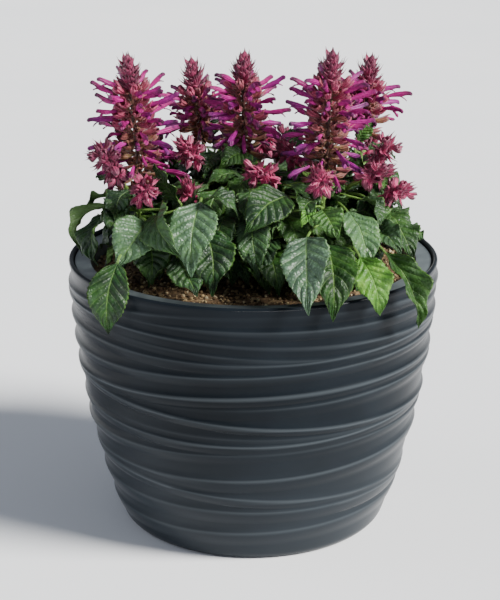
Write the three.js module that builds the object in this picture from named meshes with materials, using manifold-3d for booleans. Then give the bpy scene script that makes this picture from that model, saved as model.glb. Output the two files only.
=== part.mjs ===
// Seven bedding salvias in flower, planted together in a wave-ridged pot, in millimetres with +Z up.
// The origin is the middle of the pot's base, on the surface that it stands on, and -Y is the front.
import * as THREE from "three";
import { mergeVertices } from "three/addons/utils/BufferGeometryUtils.js";
import Module from "manifold-3d";

const wasm = await Module();
wasm.setup();

// Pot
const potHeight = 260;
const potWall = [ // height, radius of the outer wall
  [0, 129], [25, 137.3], [60, 148], [101, 157], [146, 165.4], [191, 170.7], [227, 174], [260, 175],
];
const potColumns = 32;
const wallThickness = 5;
const floorThickness = 5;
const footRound = 8; // height over which the wall turns in to the base
const ledgeHeight = 252; // the liner's flange rests on this ledge inside the lip
const ledgeRadius = 163;
const lipInnerRadius = 170.7;
const lipRound = 2.2;

// Wave ridges: crest height and relief at 60 degrees left of the front, at the front and at 60 degrees right,
// and the width of the rounded face below the crest, which ends in a crease.
const ridges = [
  { crest: [241, 251, 246], relief: [2.6, 0.8, 2.6], width: 8 },
  { crest: [238, 238, 234], relief: [0.8, 1.6, 2.0], width: 8 },
  { crest: [231, 224.5, 216.5], relief: [2.8, 1.2, 2.8], width: 9 },
  { crest: [208.5, 207, 211.5], relief: [2.8, 1.6, 2.8], width: 9 },
  { crest: [187, 195.5, 201], relief: [3.0, 2.0, 2.4], width: 8 },
  { crest: [165, 176, 179.5], relief: [3.0, 2.8, 3.0], width: 9 },
  { crest: [158, 164, 170], relief: [0.6, 1.2, 3.0], width: 10 },
  { crest: [158.5, 146, 137.5], relief: [3.0, 2.8, 3.0], width: 7 },
  { crest: [130, 127, 134], relief: [2.4, 2.4, 2.6], width: 9 },
  { crest: [110, 118, 124], relief: [3.0, 1.2, 2.0], width: 8 },
  { crest: [87, 91, 100], relief: [1.6, 2.6, 2.8], width: 13 },
  { crest: [80, 70, 62], relief: [2.2, 2.6, 1.6], width: 9 },
  { crest: [55, 56, 56], relief: [2.0, 2.0, 2.0], width: 13 },
  { crest: [27, 32, 38], relief: [2.0, 2.2, 2.0], width: 14 },
];
const ridgeRise = 3.5; // height over which a ridge fades out above its crest
const ridgeSink = 1.6; // how far the creases lie inside the wall's own line
const rowSpacing = 1.6; // least distance between two rows of the wall's faces
const plainBand = [250, 256]; // the ridges fade out between these heights, under the lip

// Liner and soil
const flangeRadius = 168.5;
const flangeTop = 256.3;
const linerMouth = 154.2; // inner radius under the flange
const linerFoot = 106.5; // inner radius at its floor
const linerFloor = 44; // height of the floor's upper face
const linerWall = 3;
const drainHole = { radius: 4, out: 62, count: 4 };
const soilRise = [[0, 250], [60, 250], [110, 248], [151.6, 245.5]]; // radius, height
const innerSides = 24; // of the liner and the soil
const soilLumps = 2.4; // greatest difference in height between neighbouring places on the soil
const soilClearance = 1.2; // from the liner's wall, at the corners
const gap = 0.3; // clearance between touching pieces
const holeFoot = 224; // lowest point of the plain holes that the main stems stand in

// Tall flower spikes and short bud heads: each from its base to its tip.
const spikes = [
  { base: [-104, -20, 329], tip: [-114, -30, 457] },
  { base: [-49, 70, 353], tip: [-61, 75, 437] },
  { base: [-9, 20, 354], tip: [-9, 15, 453] },
  { base: [67, -25, 338], tip: [71, -30, 462] },
  { base: [106, 60, 365], tip: [113, 62, 442] },
];
const budHeads = [
  { base: [-123, -45, 345], tip: [-146, -60, 383] },
  { base: [-101, -70, 332], tip: [-91, -95, 357] },
  { base: [-53, -10, 353], tip: [-71, -25, 374] },
  { base: [17, -40, 341], tip: [-8, -65, 357] },
  { base: [40, 10, 347], tip: [23, 0, 366] },
  { base: [61, -75, 343], tip: [57, -85, 363] },
  { base: [111, -5, 344], tip: [134, -5, 377] },
  { base: [103, -45, 343], tip: [127, -50, 353] },
  { base: [120, -40, 323], tip: [147, -45, 337] },
  { base: [-58, -38, 320], tip: [-61, -50, 342] },
  { base: [9, 47, 349], tip: [16, 52, 376] },
  { base: [28, 105, 330], tip: [36, 128, 356] },
  { base: [-92, 72, 335], tip: [-112, 86, 362] },
  { base: [112, 104, 325], tip: [124, 122, 350] },
];

// Flower parts. Lengths and tilts from the head's axis, in degrees, are those of the lowest and topmost whorl.
const whorlCount = 5; // calyces or bracts in a whorl
const whorlPitch = 9.5;
const calyxLength = [22.5, 18.5];
const calyxTilt = [97, 54];
const calyxRadius = 4.3;
const bellyShare = 0.6; // place of a calyx's or bract's widest section along its length
const crown = [ // the bracts over a tall spike's calyces: how far below the tip, tilt, length
  [33, 46, 17], [26, 38, 16.5], [19, 31, 13],
];
const crownEnd = 14; // how far below the tip the topmost bracts' band ends
const bractRadius = 3.5;
const steepest = 29; // least tilt of an organ, so that it stays clear of the core
const budWhorls = [ // share of a bud head's axis, tilt, length
  [0, 99, 15.5], [0.2, 74, 17], [0.4, 53, 17], [0.58, 35, 15],
];
const budEnd = 0.72;
const budBractRadius = 4.2;
const headCoreRadius = 2.6;
const headMiddleRadius = 3.4;
const bearingScatter = 0.22; // radians
const tiltScatter = { calyx: 14, bract: 6 };
const organSize = [0.93, 1.09]; // least and greatest share of the whorl's length
const corolla = {
  neck: 0.92, // share of the calyx's length at which the flower leaves it
  radius: 1.5, // of its tube there
  mouth: 17, // length to where the lips part
  reach: 26, // length to the hood's end
  lip: { half: 1.6, under: 4.6, ahead: 2.5 }, // the lower lip, from the mouth's middle
  hoodRise: 1.6,
  droop: [0.44, 0.08], // downward lean at the lowest and the topmost whorl
};
const openShare = 0.5; // share of the calyces in the open window that carry an open flower
const openWindow = [0.04, 0.93]; // the stretch of a tall spike in flower
const beadGap = 0.7; // least clearance between two organs' beads
const organBeads = [[0.3, 0.6], [0.5, 0.92], [0.7, 0.9], [0.86, 0.5], [1, 0.05]]; // share of length, of radius
const corollaBeads = [[0.15, 2], [0.35, 2], [0.55, 3.6], [0.75, 3.6], [1, 2]]; // share of reach, radius
const coreBeadCount = 12;
// What an organ tries in this order until it is clear of its neighbours: a change of tilt and of bearing
// in degrees and a share of its length.
const bends = [
  [0, 0, 1], [-14, 0, 1], [12, 0, 1], [0, 14, 0.95], [0, -14, 0.95], [-28, 0, 0.95], [-14, 18, 0.9],
  [-14, -18, 0.9], [14, 18, 0.85], [14, -18, 0.85], [-34, 0, 0.8], [0, 0, 0.7], [-20, 0, 0.6], [0, 0, 0.45],
];

// The leaves that face the front, listed plant by plant: blade base, blade tip, width, how far the
// midrib arches, which way the upper side faces, and how far the two halves fold up, in degrees.
const plants = [
  {
    root: [-98, -18], spike: 0, buds: [0, 1], leafy: [[-108, -88, 284]],
    leaves: [
      [[-132, -30, 314], [-160, -60, 275], 38, 18, [-0.3, 0.7, 0.6], 20],
      [[-126, -20, 318], [-156, -35, 306], 26, 8, [-0.2, 0.3, 1], 12],
      [[-133, -45, 311], [-140, -84, 271], 38, 10, [-0.7, -0.5, 0.4], 20],
      [[-132, -60, 308], [-124, -88, 276], 22, 6, [0.9, -0.3, 0.2], 25],
      [[-97, -75, 309], [-119, -122, 283], 46, 10, [0.1, -1, 0.5], 10],
      [[-119, -122, 286], [-128, -138, 224], 37, 10, [-0.1, -1, 0.3], 14],
      [[-82, -70, 319], [-55, -122, 270], 38, 12, [-0.45, -1, 0.4], 16],
      [[-68, -54, 324], [-81, -62, 362], 27, 4, [0, -1, 0.1], 8],
      [[-93, -85, 293], [-90, -116, 267], 36, 5, [0, -1, 0.5], 8],
    ],
  },
  {
    root: [-48, 62], spike: 1, buds: [2, 12], leafy: [[-28, 98, 342]],
    leaves: [
      [[-37, 10, 354], [-47, -12, 337], 22, 5, [0, -0.8, 0.7], 10],
      [[-30, 96, 368], [-49, 90, 357], 14, 3, [0, -0.9, 0.5], 8],
    ],
  },
  {
    root: [-2, 22], spike: 2, buds: [3, 10, 11], leafy: [],
    leaves: [
      [[-7, -4, 357], [-31, -24, 350], 24, 5, [0, -0.7, 0.9], 8],
      [[-6, -30, 340], [-23, -55, 333], 22, 5, [0, -0.8, 0.7], 8],
    ],
  },
  {
    root: [72, -22], spike: 3, buds: [4], leafy: [[86, -96, 290]],
    leaves: [
      [[84, -80, 321], [100, -122, 277], 34, 8, [0.4, -1, 0.3], 14],
      [[98, -68, 329], [112, -88, 307], 30, 8, [0.9, -0.2, 0.5], 20],
      [[92, -136, 295], [110, -158, 249], 34, 8, [0.1, -1, 0.3], 8],
      [[87, 8, 347], [106, -4, 342], 20, 4, [0, -0.8, 0.7], 8],
      [[101, -55, 328], [118, -82, 307], 28, 5, [0.3, -0.9, 0.6], 8],
    ],
  },
  {
    root: [108, 52], spike: 4, buds: [6, 7, 8, 13], leafy: [[114, -78, 282]],
    leaves: [
      [[116, -112, 292], [145, -128, 226], 38, 12, [0.5, -0.9, 0.2], 20],
      [[108, -75, 300], [129, -104, 284], 30, 6, [0.2, -1, 0.5], 8],
      [[123, -50, 313], [140, -88, 276], 34, 8, [0.5, -0.8, 0.5], 10],
      [[134, -35, 295], [158, -45, 286], 24, 3, [0.1, 0.1, 1], 6],
      [[99, 20, 364], [114, 30, 380], 18, 3, [0, -1, 0.2], 8],
      [[50, 84, 349], [28, 78, 358], 19, 3, [0, -0.8, 0.8], 8],
      [[107, -30, 339], [123, -35, 335], 12, 3, [0.1, -0.8, 0.8], 8],
      [[128, -22, 309], [140, -38, 298], 22, 5, [0.5, -0.2, 0.9], 10],
      [[114, -14, 337], [123, -24, 326], 18, 3, [0.2, -0.6, 0.9], 8],
    ],
  },
  {
    root: [-50, -58], bud: 9, buds: [], leafy: [[-45, -84, 306]],
    leaves: [
      [[-47, -85, 331], [-54, -134, 275], 44, 12, [-0.05, -1, 0.5], 10],
      [[-45, -80, 328], [-12, -95, 320], 32, 14, [0.3, -0.2, 0.9], 12],
      [[-44, -92, 308], [-34, -140, 267], 42, 8, [0.2, -1, 0.4], 10],
      [[-44, -50, 349], [-60, -72, 332], 23, 6, [-0.2, -0.8, 0.7], 10],
      [[-67, -100, 283], [-49, -138, 259], 34, 5, [0, -0.9, 0.7], 8],
      [[-16, -62, 293], [-19, -104, 259], 44, 6, [0, -1, 0.6], 8],
    ],
  },
  {
    root: [52, -72], bud: 5, buds: [], leafy: [],
    leaves: [
      [[47, -122, 309], [46, -184, 253], 44, 14, [-0.3, -1, 0.4], 14],
      [[62, -118, 302], [69, -176, 251], 46, 16, [0.3, -1, 0.5], 10],
      [[32, -70, 332], [-8, -112, 312], 42, 10, [-0.2, -0.8, 0.7], 8],
      [[36, -75, 320], [16, -100, 301], 24, 6, [-0.9, -0.6, 0.2], 20],
      [[54, -85, 326], [50, -104, 304], 12, 3, [0, -1, 0.3], 10],
      [[61, -85, 324], [75, -112, 304], 29, 6, [0.1, -1, 0.4], 14],
      [[18, -88, 298], [3, -120, 273], 28, 6, [-0.3, -1, 0.4], 12],
      [[18, -84, 297], [21, -94, 281], 9, 2, [0.3, -1, 0.3], 8],
      [[8, -78, 294], [13, -122, 262], 42, 6, [0, -1, 0.6], 8],
    ],
  },
];

// The leaves round the sides and back hang in tiers: bearings in degrees from the back (+Y) towards +X,
// radius and height of the blade's base and tip, and the blade's width.
const tiers = [
  { bearings: [-78, -52, -27, -3, 22, 47, 71, 94], base: [98, 300], tip: [156, 264], width: 42 },
  { bearings: [-88, -58, -30, -2, 26, 55, 82], base: [74, 322], tip: [126, 296], width: 38 },
  { bearings: [-70, -20, 25, 70], base: [52, 344], tip: [92, 330], width: 30 },
  { bearings: [112, 138, 164, 198, 226, 250], base: [66, 290], tip: [112, 260], width: 36 },
  { bearings: [124, 152, 180, 210, 238], base: [48, 316], tip: [92, 290], width: 34 },
  { bearings: [55, 100, 140, 220, 262, 320], base: [26, 300], tip: [72, 278], width: 34 },
  { bearings: [30, 85, 130, 175, 228, 280], base: [14, 334], tip: [54, 318], width: 30 },
  { bearings: [106, 124, 232, 246, 262], base: [104, 292], tip: [146, 262], width: 34 },
];

const tierArch = 10;
const tierFold = 10;
const tierScatter = { bearing: 8, sweep: 24, lift: 16 }; // whole ranges, in degrees, degrees and millimetres
const leafSize = [0.88, 1.12];

// The pair of leaves under each head: how far out and up their blades start, length, drop to the tip, width.
const pairLeaf = { out: 8, up: 3, length: 32, drop: 12, width: 26, arch: 5, fold: 10 };
const pairSize = [0.85, 1.25];

const bladeRings = [0, 0.14, 0.32, 0.5, 0.68, 0.86]; // shares of the blade's length
const spareRings = [0, 0.2, 0.44, 0.68, 0.86]; // on the leaves of the pairs and tiers
const bladeHalfThickness = 0.9;
const toothDepth = 0.07; // share of the blade's half width
const edgeWave = 1.3;
const petioleRadius = 1.15;
const shortStalk = 9; // a stalk shorter than this runs straight
const pairNode = 3; // the pair's place among a stem's points, counted from its end
const farthestSpring = 62; // a leaf of the tiers with no better place on a stem than this isn't grown
const stalkRoom = 5; // a stalk springs at least this far behind its blade's base, where a stem allows it
const testSwell = 0.35; // a leaf is tried this much thicker, so that it ends up clear by about as much
// What a leaf tries in this order until it is clear: droop and yaw in degrees, each with the stalk springing
// from the nearest place on the stems, and then from further down.
const turns = [
  [0, 0], [5, 0], [-5, 0], [0, 6], [0, -6], [9, 0], [-9, 0], [0, 12], [0, -12], [12, 9], [12, -9], [-12, 9],
  [-12, -9], [18, 0], [-18, 0], [0, 20], [0, -20], [24, 14], [24, -14], [-24, 14], [-24, -14], [10, 30],
  [10, -30], [0, 45], [0, -45], [15, 62], [15, -62],
];
const springDrops = [0, 14, 28];

const stemFootRadius = 3.4;
const stemTopRadius = 2.2;
const shootRadius = 2.0;
const shootStart = 262;

const material = (color, roughness) => new THREE.MeshStandardMaterial({ color, roughness, metalness: 0 });
const potPlastic = material(0x2b3138, 0.42);
const linerPlastic = material(0x555c62, 0.5);
const soilMix = material(0x5b4532, 0.95);
const foliage = material(0x2f5a2c, 0.45);
const spikeBloom = material(0x9b2c62, 0.6);
const budBloom = material(0xb8496a, 0.6);

const vec = (a) => new THREE.Vector3(a[0], a[1], a[2]);
const radians = THREE.MathUtils.degToRad;
const mix = THREE.MathUtils.lerp;
const clampUnit = (x) => Math.min(1, Math.max(0, x));
const upward = new THREE.Vector3(0, 0, 1);

// A number from 0 to 1 that depends only on the whole number given.
function draw(n) {
  let h = Math.imul(n ^ (n >>> 15), 2246822519);
  h = Math.imul(h ^ (h >>> 13), 3266489917);
  return ((h ^ (h >>> 16)) >>> 0) / 4294967296;
}

// ---- closed meshes ----

function solidOf(points, triangles) {
  const vertProperties = new Float32Array(points.flatMap((p) => [p.x, p.y, p.z]));
  let volume = 0;
  for (const [a, b, c] of triangles) {
    volume += points[a].dot(points[b].clone().cross(points[c]));
  }
  const turned = volume < 0 ? triangles.map(([a, b, c]) => [a, c, b]) : triangles;
  const triVerts = new Uint32Array(turned.flat());
  return new wasm.Manifold(new wasm.Mesh({ numProp: 3, vertProperties, triVerts }));
}

function solidOfGeometry(geometry) {
  geometry.deleteAttribute("normal");
  geometry.deleteAttribute("uv");
  const merged = mergeVertices(geometry, 1e-4);
  const at = merged.getAttribute("position");
  const points = [];
  for (let i = 0; i < at.count; i++) points.push(new THREE.Vector3().fromBufferAttribute(at, i));
  const index = Array.from(merged.index.array);
  const triangles = [];
  for (let i = 0; i < index.length; i += 3) {
    const t = index.slice(i, i + 3);
    if (new Set(t).size === 3) triangles.push(t);
  }
  return solidOf(points, triangles);
}

// A closed skin over rings of equal count, each end drawn to a point: its apex, or the ring's middle.
// Neighbouring quads are split in mirrored ways, so a four-cornered blade has the same split on both faces.
function loft(rings, startApex, endApex) {
  const sides = rings[0].length;
  const middle = (ring) => ring.reduce((s, p) => s.add(p), new THREE.Vector3()).divideScalar(sides);
  const points = rings.flat();
  const start = points.push(startApex ?? middle(rings[0])) - 1;
  const end = points.push(endApex ?? middle(rings[rings.length - 1])) - 1;
  const triangles = [];
  for (let j = 0; j < sides; j++) {
    const k = (j + 1) % sides;
    triangles.push([start, k, j]);
    for (let i = 0; i < rings.length - 1; i++) {
      const [a, b] = [i * sides + j, i * sides + k];
      const [c, d] = [a + sides, b + sides];
      if (j % 2 === 0) triangles.push([a, b, d], [a, d, c]);
      else triangles.push([a, b, c], [b, d, c]);
    }
    const last = (rings.length - 1) * sides;
    triangles.push([end, last + j, last + k]);
  }
  return solidOf(points, triangles);
}

function meshOf(name, solid, finish) {
  const made = solid.getMesh();
  const geometry = new THREE.BufferGeometry();
  const positions = new Float32Array(made.numVert * 3);
  for (let i = 0; i < made.numVert; i++) {
    positions.set(made.vertProperties.subarray(i * made.numProp, i * made.numProp + 3), i * 3);
  }
  geometry.setAttribute("position", new THREE.BufferAttribute(positions, 3));
  geometry.setIndex(new THREE.BufferAttribute(made.triVerts, 1));
  const mesh = new THREE.Mesh(geometry, finish);
  mesh.name = name;
  return mesh;
}

// Two directions square to a line and to each other, for rings round it.
function across(direction) {
  const side = Math.abs(direction.z) < 0.9 ? new THREE.Vector3(0, 0, 1) : new THREE.Vector3(0, 1, 0);
  const u = side.cross(direction).normalize();
  return [u, direction.clone().cross(u)];
}

function ringRound(centre, u, v, radius, sides) {
  return Array.from({ length: sides }, (_, k) => {
    const a = (2 * Math.PI * k) / sides;
    return centre.clone().addScaledVector(u, radius * Math.cos(a)).addScaledVector(v, radius * Math.sin(a));
  });
}

// ---- pot, liner and soil ----

// A value round the pot that meets three readings: 60 degrees left, front and 60 degrees right.
function roundPot([left, front, right], angle) {
  const mean = (left + right) / 2;
  const twofold = (front - mean) / 1.5;
  const swing = (right - left) / (2 * Math.sin(Math.PI / 3));
  return mean + twofold / 2 + swing * Math.sin(angle) + twofold * Math.cos(2 * angle);
}

function wallRadius(z) {
  const k = Math.max(1, potWall.findIndex(([height]) => height >= z));
  const [[z0, r0], [z1, r1]] = [potWall[k - 1], potWall[k]];
  return r0 + ((r1 - r0) * (z - z0)) / (z1 - z0);
}

// The tallest of the ridges at this place: a quarter ellipse down to the crease, a quick fade above the crest.
function ridgeRelief(angle, z) {
  return ridges.reduce((tallest, ridge) => {
    const above = z - roundPot(ridge.crest, angle);
    const share = above > 0 ? above / ridgeRise : -above / ridge.width;
    const height = share < 1 ? roundPot(ridge.relief, angle) * Math.sqrt(1 - share * share) : 0;
    return Math.max(tallest, height);
  }, 0);
}

function outerRadius(angle, z) {
  const ridged = 1 - clampUnit((z - plainBand[0]) / (plainBand[1] - plainBand[0]));
  const turnIn = clampUnit((footRound - z) / footRound);
  const foot = footRound * 0.6 * (1 - Math.sqrt(1 - turnIn * turnIn));
  return wallRadius(z) + ridged * (ridgeRelief(angle, z) - ridgeSink) - foot;
}

// The heights of the outer wall's rows at one angle: every crest and crease in order, kept a little apart.
function rowHeights(angle) {
  const marks = ridges.flatMap((ridge) => {
    const crest = roundPot(ridge.crest, angle);
    return [crest - ridge.width, crest];
  });
  marks.sort((a, b) => a - b);
  const rows = [0, footRound / 3];
  for (const z of marks) rows.push(Math.max(z, rows[rows.length - 1] + rowSpacing));
  rows.push(Math.max(plainBand[1], rows[rows.length - 1] + rowSpacing / 2));
  return rows;
}

function planter() {
  const lipMiddle = (wallRadius(potHeight) + lipInnerRadius) / 2;
  const lip = [
    [wallRadius(potHeight), potHeight - lipRound],
    [lipMiddle, potHeight],
    [lipInnerRadius, potHeight - lipRound],
  ];
  const inside = [
    [lipInnerRadius, ledgeHeight],
    [ledgeRadius, ledgeHeight],
    [ledgeRadius, ledgeHeight - 4],
    ...[236, 80, floorThickness].map((z) => [wallRadius(z) - wallThickness - 1, z]),
  ];
  const columns = Array.from({ length: potColumns }, (_, j) => {
    const angle = (2 * Math.PI * j) / potColumns;
    const outside = rowHeights(angle).map((z) => [outerRadius(angle, z), z]);
    return [...outside, ...lip, ...inside].map(
      ([r, z]) => new THREE.Vector3(r * Math.sin(angle), -r * Math.cos(angle), z),
    );
  });
  return loft(columnsToRings(columns), new THREE.Vector3(0, 0, 0), new THREE.Vector3(0, 0, floorThickness));
}

const columnsToRings = (columns) => columns[0].map((_, i) => columns.map((column) => column[i]));

function latheSolid(profile) {
  const outline = profile.map(([r, z]) => new THREE.Vector2(r, z));
  return solidOfGeometry(new THREE.LatheGeometry(outline, innerSides).rotateX(Math.PI / 2));
}

function post(x, y, radius, from, to) {
  const round = new THREE.CylinderGeometry(radius, radius, to - from, 6).rotateX(Math.PI / 2);
  return solidOfGeometry(round.translate(x, y, (from + to) / 2));
}

function liner() {
  const under = ledgeHeight + gap;
  let drained = latheSolid([
    [0, linerFloor - linerWall], [linerFoot + linerWall, linerFloor - linerWall],
    [linerMouth + linerWall, under], [flangeRadius, under],
    [flangeRadius, flangeTop], [linerMouth, flangeTop], [linerFoot, linerFloor], [0, linerFloor],
  ]);
  for (let k = 0; k < drainHole.count; k++) {
    const a = (2 * Math.PI * (k + 0.5)) / drainHole.count;
    const [x, y] = [drainHole.out * Math.cos(a), drainHole.out * Math.sin(a)];
    drained = drained.subtract(post(x, y, drainHole.radius, linerFloor - 2 * linerWall, linerFloor + 1));
  }
  return drained;
}

function soil() {
  const [[, middleHeight], ...rings] = soilRise;
  const foot = linerFloor + gap;
  const lump = (j, k) => (j < rings.length - 1 ? soilLumps * (draw(1000 + 50 * j + k) - 0.5) : 0);
  const edge = (z) => mix(linerFoot, linerMouth, (z - linerFloor) / (flangeTop - linerFloor)) - soilClearance;
  const columns = Array.from({ length: innerSides }, (_, k) => {
    const a = (2 * Math.PI * k) / innerSides;
    const place = (r, z) => new THREE.Vector3(r * Math.cos(a), r * Math.sin(a), z);
    const top = rings.map(([r, z], j) => place(Math.min(r, edge(z)), z + lump(j, k)));
    return [...top, place(edge(foot), foot)];
  });
  const heap = loft(
    columnsToRings(columns),
    new THREE.Vector3(0, 0, middleHeight),
    new THREE.Vector3(0, 0, foot),
  );
  return plants.reduce(
    (left, { root: [x, y] }) => left.subtract(post(x, y, stemFootRadius + 2 * gap, holeFoot, potHeight)),
    heap,
  );
}

// ---- flower heads ----

const headAxis = (head) => vec(head.tip).sub(vec(head.base)).normalize();
const headLength = (head) => vec(head.tip).distanceTo(vec(head.base));

// A tall spike's whorls from its base: calyces up the stem, then the crown of bracts.
function spikeWhorls(long) {
  const room = long - crown[0][0];
  const count = Math.round(room / whorlPitch);
  const calyces = Array.from({ length: count }, (_, k) => {
    const up = k / (count - 1);
    return {
      kind: "calyx", up, rise: (room * k) / count, tilt: mix(...calyxTilt, up),
      length: mix(...calyxLength, up), radius: calyxRadius,
    };
  });
  const bracts = crown.map(([below, tilt, length]) => ({
    kind: "bract", rise: long - below, tilt, length, radius: bractRadius,
  }));
  return { whorls: [...calyces, ...bracts], end: long - crownEnd };
}

function budWhorlsOf(long) {
  const whorls = budWhorls.map(([share, tilt, length]) => ({
    kind: "bract", rise: share * long, tilt, length, radius: budBractRadius,
  }));
  return { whorls, end: budEnd * long };
}

// A head's core: bands of triangles between rings that each turn half a side on from the one below, so that
// every whorl of organs stands between those under it.
function headFrame(head, { whorls, end }) {
  const axis = headAxis(head);
  const [u, v] = across(axis);
  const long = headLength(head);
  const rises = [...whorls.map((whorl) => whorl.rise), end];
  const bearing = (k, j) => (2 * Math.PI * (j + k / 2)) / whorlCount;
  const rings = rises.map((rise, k) => {
    const radius = mix(headCoreRadius, headMiddleRadius, Math.sin((Math.PI * rise) / long));
    return Array.from({ length: whorlCount }, (_, j) =>
      vec(head.base).addScaledVector(axis, rise)
        .addScaledVector(u, radius * Math.cos(bearing(k, j)))
        .addScaledVector(v, radius * Math.sin(bearing(k, j))));
  });
  return { axis, u, v, rings, bearing };
}

// The organ on one face of the core, bent as asked.
function organOn(frame, whorl, k, j, seed, [tiltBy, bearingBy, share]) {
  const { axis, u, v, rings, bearing } = frame;
  const foot = [rings[k][j], rings[k][(j + 1) % whorlCount], rings[k + 1][j]];
  const turn = bearing(k, j) + Math.PI / whorlCount + bearingScatter * (draw(seed) - 0.5) + radians(bearingBy);
  const scatter = tiltScatter[whorl.kind] * (draw(seed + 900) - 0.5);
  const tilt = radians(Math.max(steepest, whorl.tilt + scatter + tiltBy));
  const out = u.clone().multiplyScalar(Math.cos(turn)).addScaledVector(v, Math.sin(turn));
  const side = v.clone().multiplyScalar(Math.cos(turn)).addScaledVector(u, -Math.sin(turn));
  const way = axis.clone().multiplyScalar(Math.cos(tilt)).addScaledVector(out, Math.sin(tilt));
  const top = axis.clone().multiplyScalar(Math.sin(tilt)).addScaledVector(out, -Math.cos(tilt));
  const root = foot.reduce((sum, p) => sum.add(p), new THREE.Vector3()).divideScalar(3);
  const length = whorl.length * mix(...organSize, draw(seed + 1800)) * share;
  return { ...whorl, root, way, top, side, length };
}

// An open flower on a calyx: its tube leaves the calyx's mouth and droops a little, more so low on the spike.
function flowerOn(organ) {
  const way = organ.way.clone().addScaledVector(upward, -mix(...corolla.droop, organ.up)).normalize();
  const above = organ.side.clone().cross(way);
  const neck = organ.root.clone().addScaledVector(organ.way, corolla.neck * organ.length);
  return { way, side: organ.side, above: above.z < 0 ? above.negate() : above, neck };
}

// An organ and its flower as spheres along their middles, to tell whether two of them meet.
function beadsOf(organ) {
  const beads = organBeads.map(([share, thick]) => [
    organ.root.clone().addScaledVector(organ.way, share * organ.length), thick * organ.radius,
  ]);
  if (!organ.flower) return beads;
  const { neck, way } = organ.flower;
  const beyond = corollaBeads.map(([share, radius]) => [
    neck.clone().addScaledVector(way, share * corolla.reach), radius,
  ]);
  return [...beads, ...beyond];
}

const coreBeads = (head) =>
  Array.from({ length: coreBeadCount }, (_, i) => [
    vec(head.base).lerp(vec(head.tip), i / (coreBeadCount - 1)), headMiddleRadius,
  ]);

const meets = (beads, others) =>
  beads.some(([p, r]) => others.some(([q, t]) => p.distanceToSquared(q) < (r + t + beadGap) ** 2));

// Grows the organs of every head in turn, each bent until it is clear of all the organs grown before it.
// A face of the core whose organ finds no room stays bare.
function growHeads(heads, whorlsOf, firstSeed, taken) {
  return heads.map((head, headIndex) => {
    const shape = whorlsOf(headLength(head));
    const frame = headFrame(head, shape);
    const others = taken.filter(({ owner }) => owner !== head).flatMap(({ beads }) => beads);
    const own = [];
    const fits = (organ) => {
      const beads = beadsOf(organ);
      return !meets(beads, others) && !meets(beads.slice(1), own);
    };
    const grow = (whorl, k, j) => {
      const seed = firstSeed + 5000 * headIndex + 20 * k + j;
      const organ = bends.map((bend) => organOn(frame, whorl, k, j, seed, bend)).find(fits);
      if (!organ) return { k, j, bare: true };
      const inFlower = whorl.kind === "calyx" && whorl.up > openWindow[0] && whorl.up < openWindow[1];
      if (inFlower && draw(seed + 2700) < openShare) {
        const flower = flowerOn(organ);
        if (fits({ ...organ, flower })) organ.flower = flower;
      }
      const beads = beadsOf(organ);
      own.push(...beads.slice(1));
      taken.push({ owner: head, beads });
      return { ...organ, k, j };
    };
    const organs = shape.whorls.flatMap((whorl, k) =>
      Array.from({ length: whorlCount }, (_, j) => grow(whorl, k, j)));
    return { head, frame, organs };
  });
}

const threeRound = (centre, side, top, radius) => [
  centre.clone().addScaledVector(side, -0.87 * radius).addScaledVector(top, -0.5 * radius),
  centre.clone().addScaledVector(side, 0.87 * radius).addScaledVector(top, -0.5 * radius),
  centre.clone().addScaledVector(top, radius),
];

// The sections of an organ from its widest one on, and its point.
function organSections(organ) {
  const at = (share) => organ.root.clone().addScaledVector(organ.way, share * organ.length);
  const belly = threeRound(at(bellyShare), organ.side, organ.top, organ.radius);
  if (!organ.flower) return { sections: [belly], point: at(1) };
  const { way, side, above, neck } = organ.flower;
  const { lip } = corolla;
  const mouth = neck.clone().addScaledVector(way, corolla.mouth);
  const lipMiddle = mouth.clone().addScaledVector(above, -lip.under).addScaledVector(way, lip.ahead);
  const gape = [
    lipMiddle.clone().addScaledVector(side, -lip.half),
    lipMiddle.clone().addScaledVector(side, lip.half),
    mouth.addScaledVector(above, corolla.hoodRise),
  ];
  return {
    sections: [belly, threeRound(neck, side, above, corolla.radius), gape],
    point: neck.clone().addScaledVector(way, corolla.reach).addScaledVector(above, corolla.hoodRise / 2),
  };
}

// One closed skin: the core's bands, with each organ drawn out of the face that it stands on.
function headSolid({ head, frame: { rings }, organs }) {
  const points = rings.flat();
  const at = (k, j) => k * whorlCount + (j % whorlCount);
  const triangles = [];
  for (const organ of organs) {
    const { k, j } = organ;
    triangles.push([at(k, j + 1), at(k + 1, j + 1), at(k + 1, j)]);
    let loop = [at(k, j), at(k, j + 1), at(k + 1, j)];
    if (organ.bare) {
      triangles.push(loop);
      continue;
    }
    const { sections, point } = organSections(organ);
    for (const section of sections) {
      const next = section.map((p) => points.push(p) - 1);
      loop.forEach((from, i) => {
        const to = loop[(i + 1) % 3];
        triangles.push([from, to, next[(i + 1) % 3]], [from, next[(i + 1) % 3], next[i]]);
      });
      loop = next;
    }
    const tip = points.push(point) - 1;
    loop.forEach((from, i) => triangles.push([from, loop[(i + 1) % 3], tip]));
  }
  const [bottom, top] = [points.push(vec(head.base)) - 1, points.push(vec(head.tip)) - 1];
  for (let j = 0; j < whorlCount; j++) {
    triangles.push([bottom, at(0, j + 1), at(0, j)]);
    triangles.push([top, at(rings.length - 1, j), at(rings.length - 1, j + 1)]);
  }
  return solidOf(points, triangles);
}

// ---- stems and leaves ----

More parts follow.
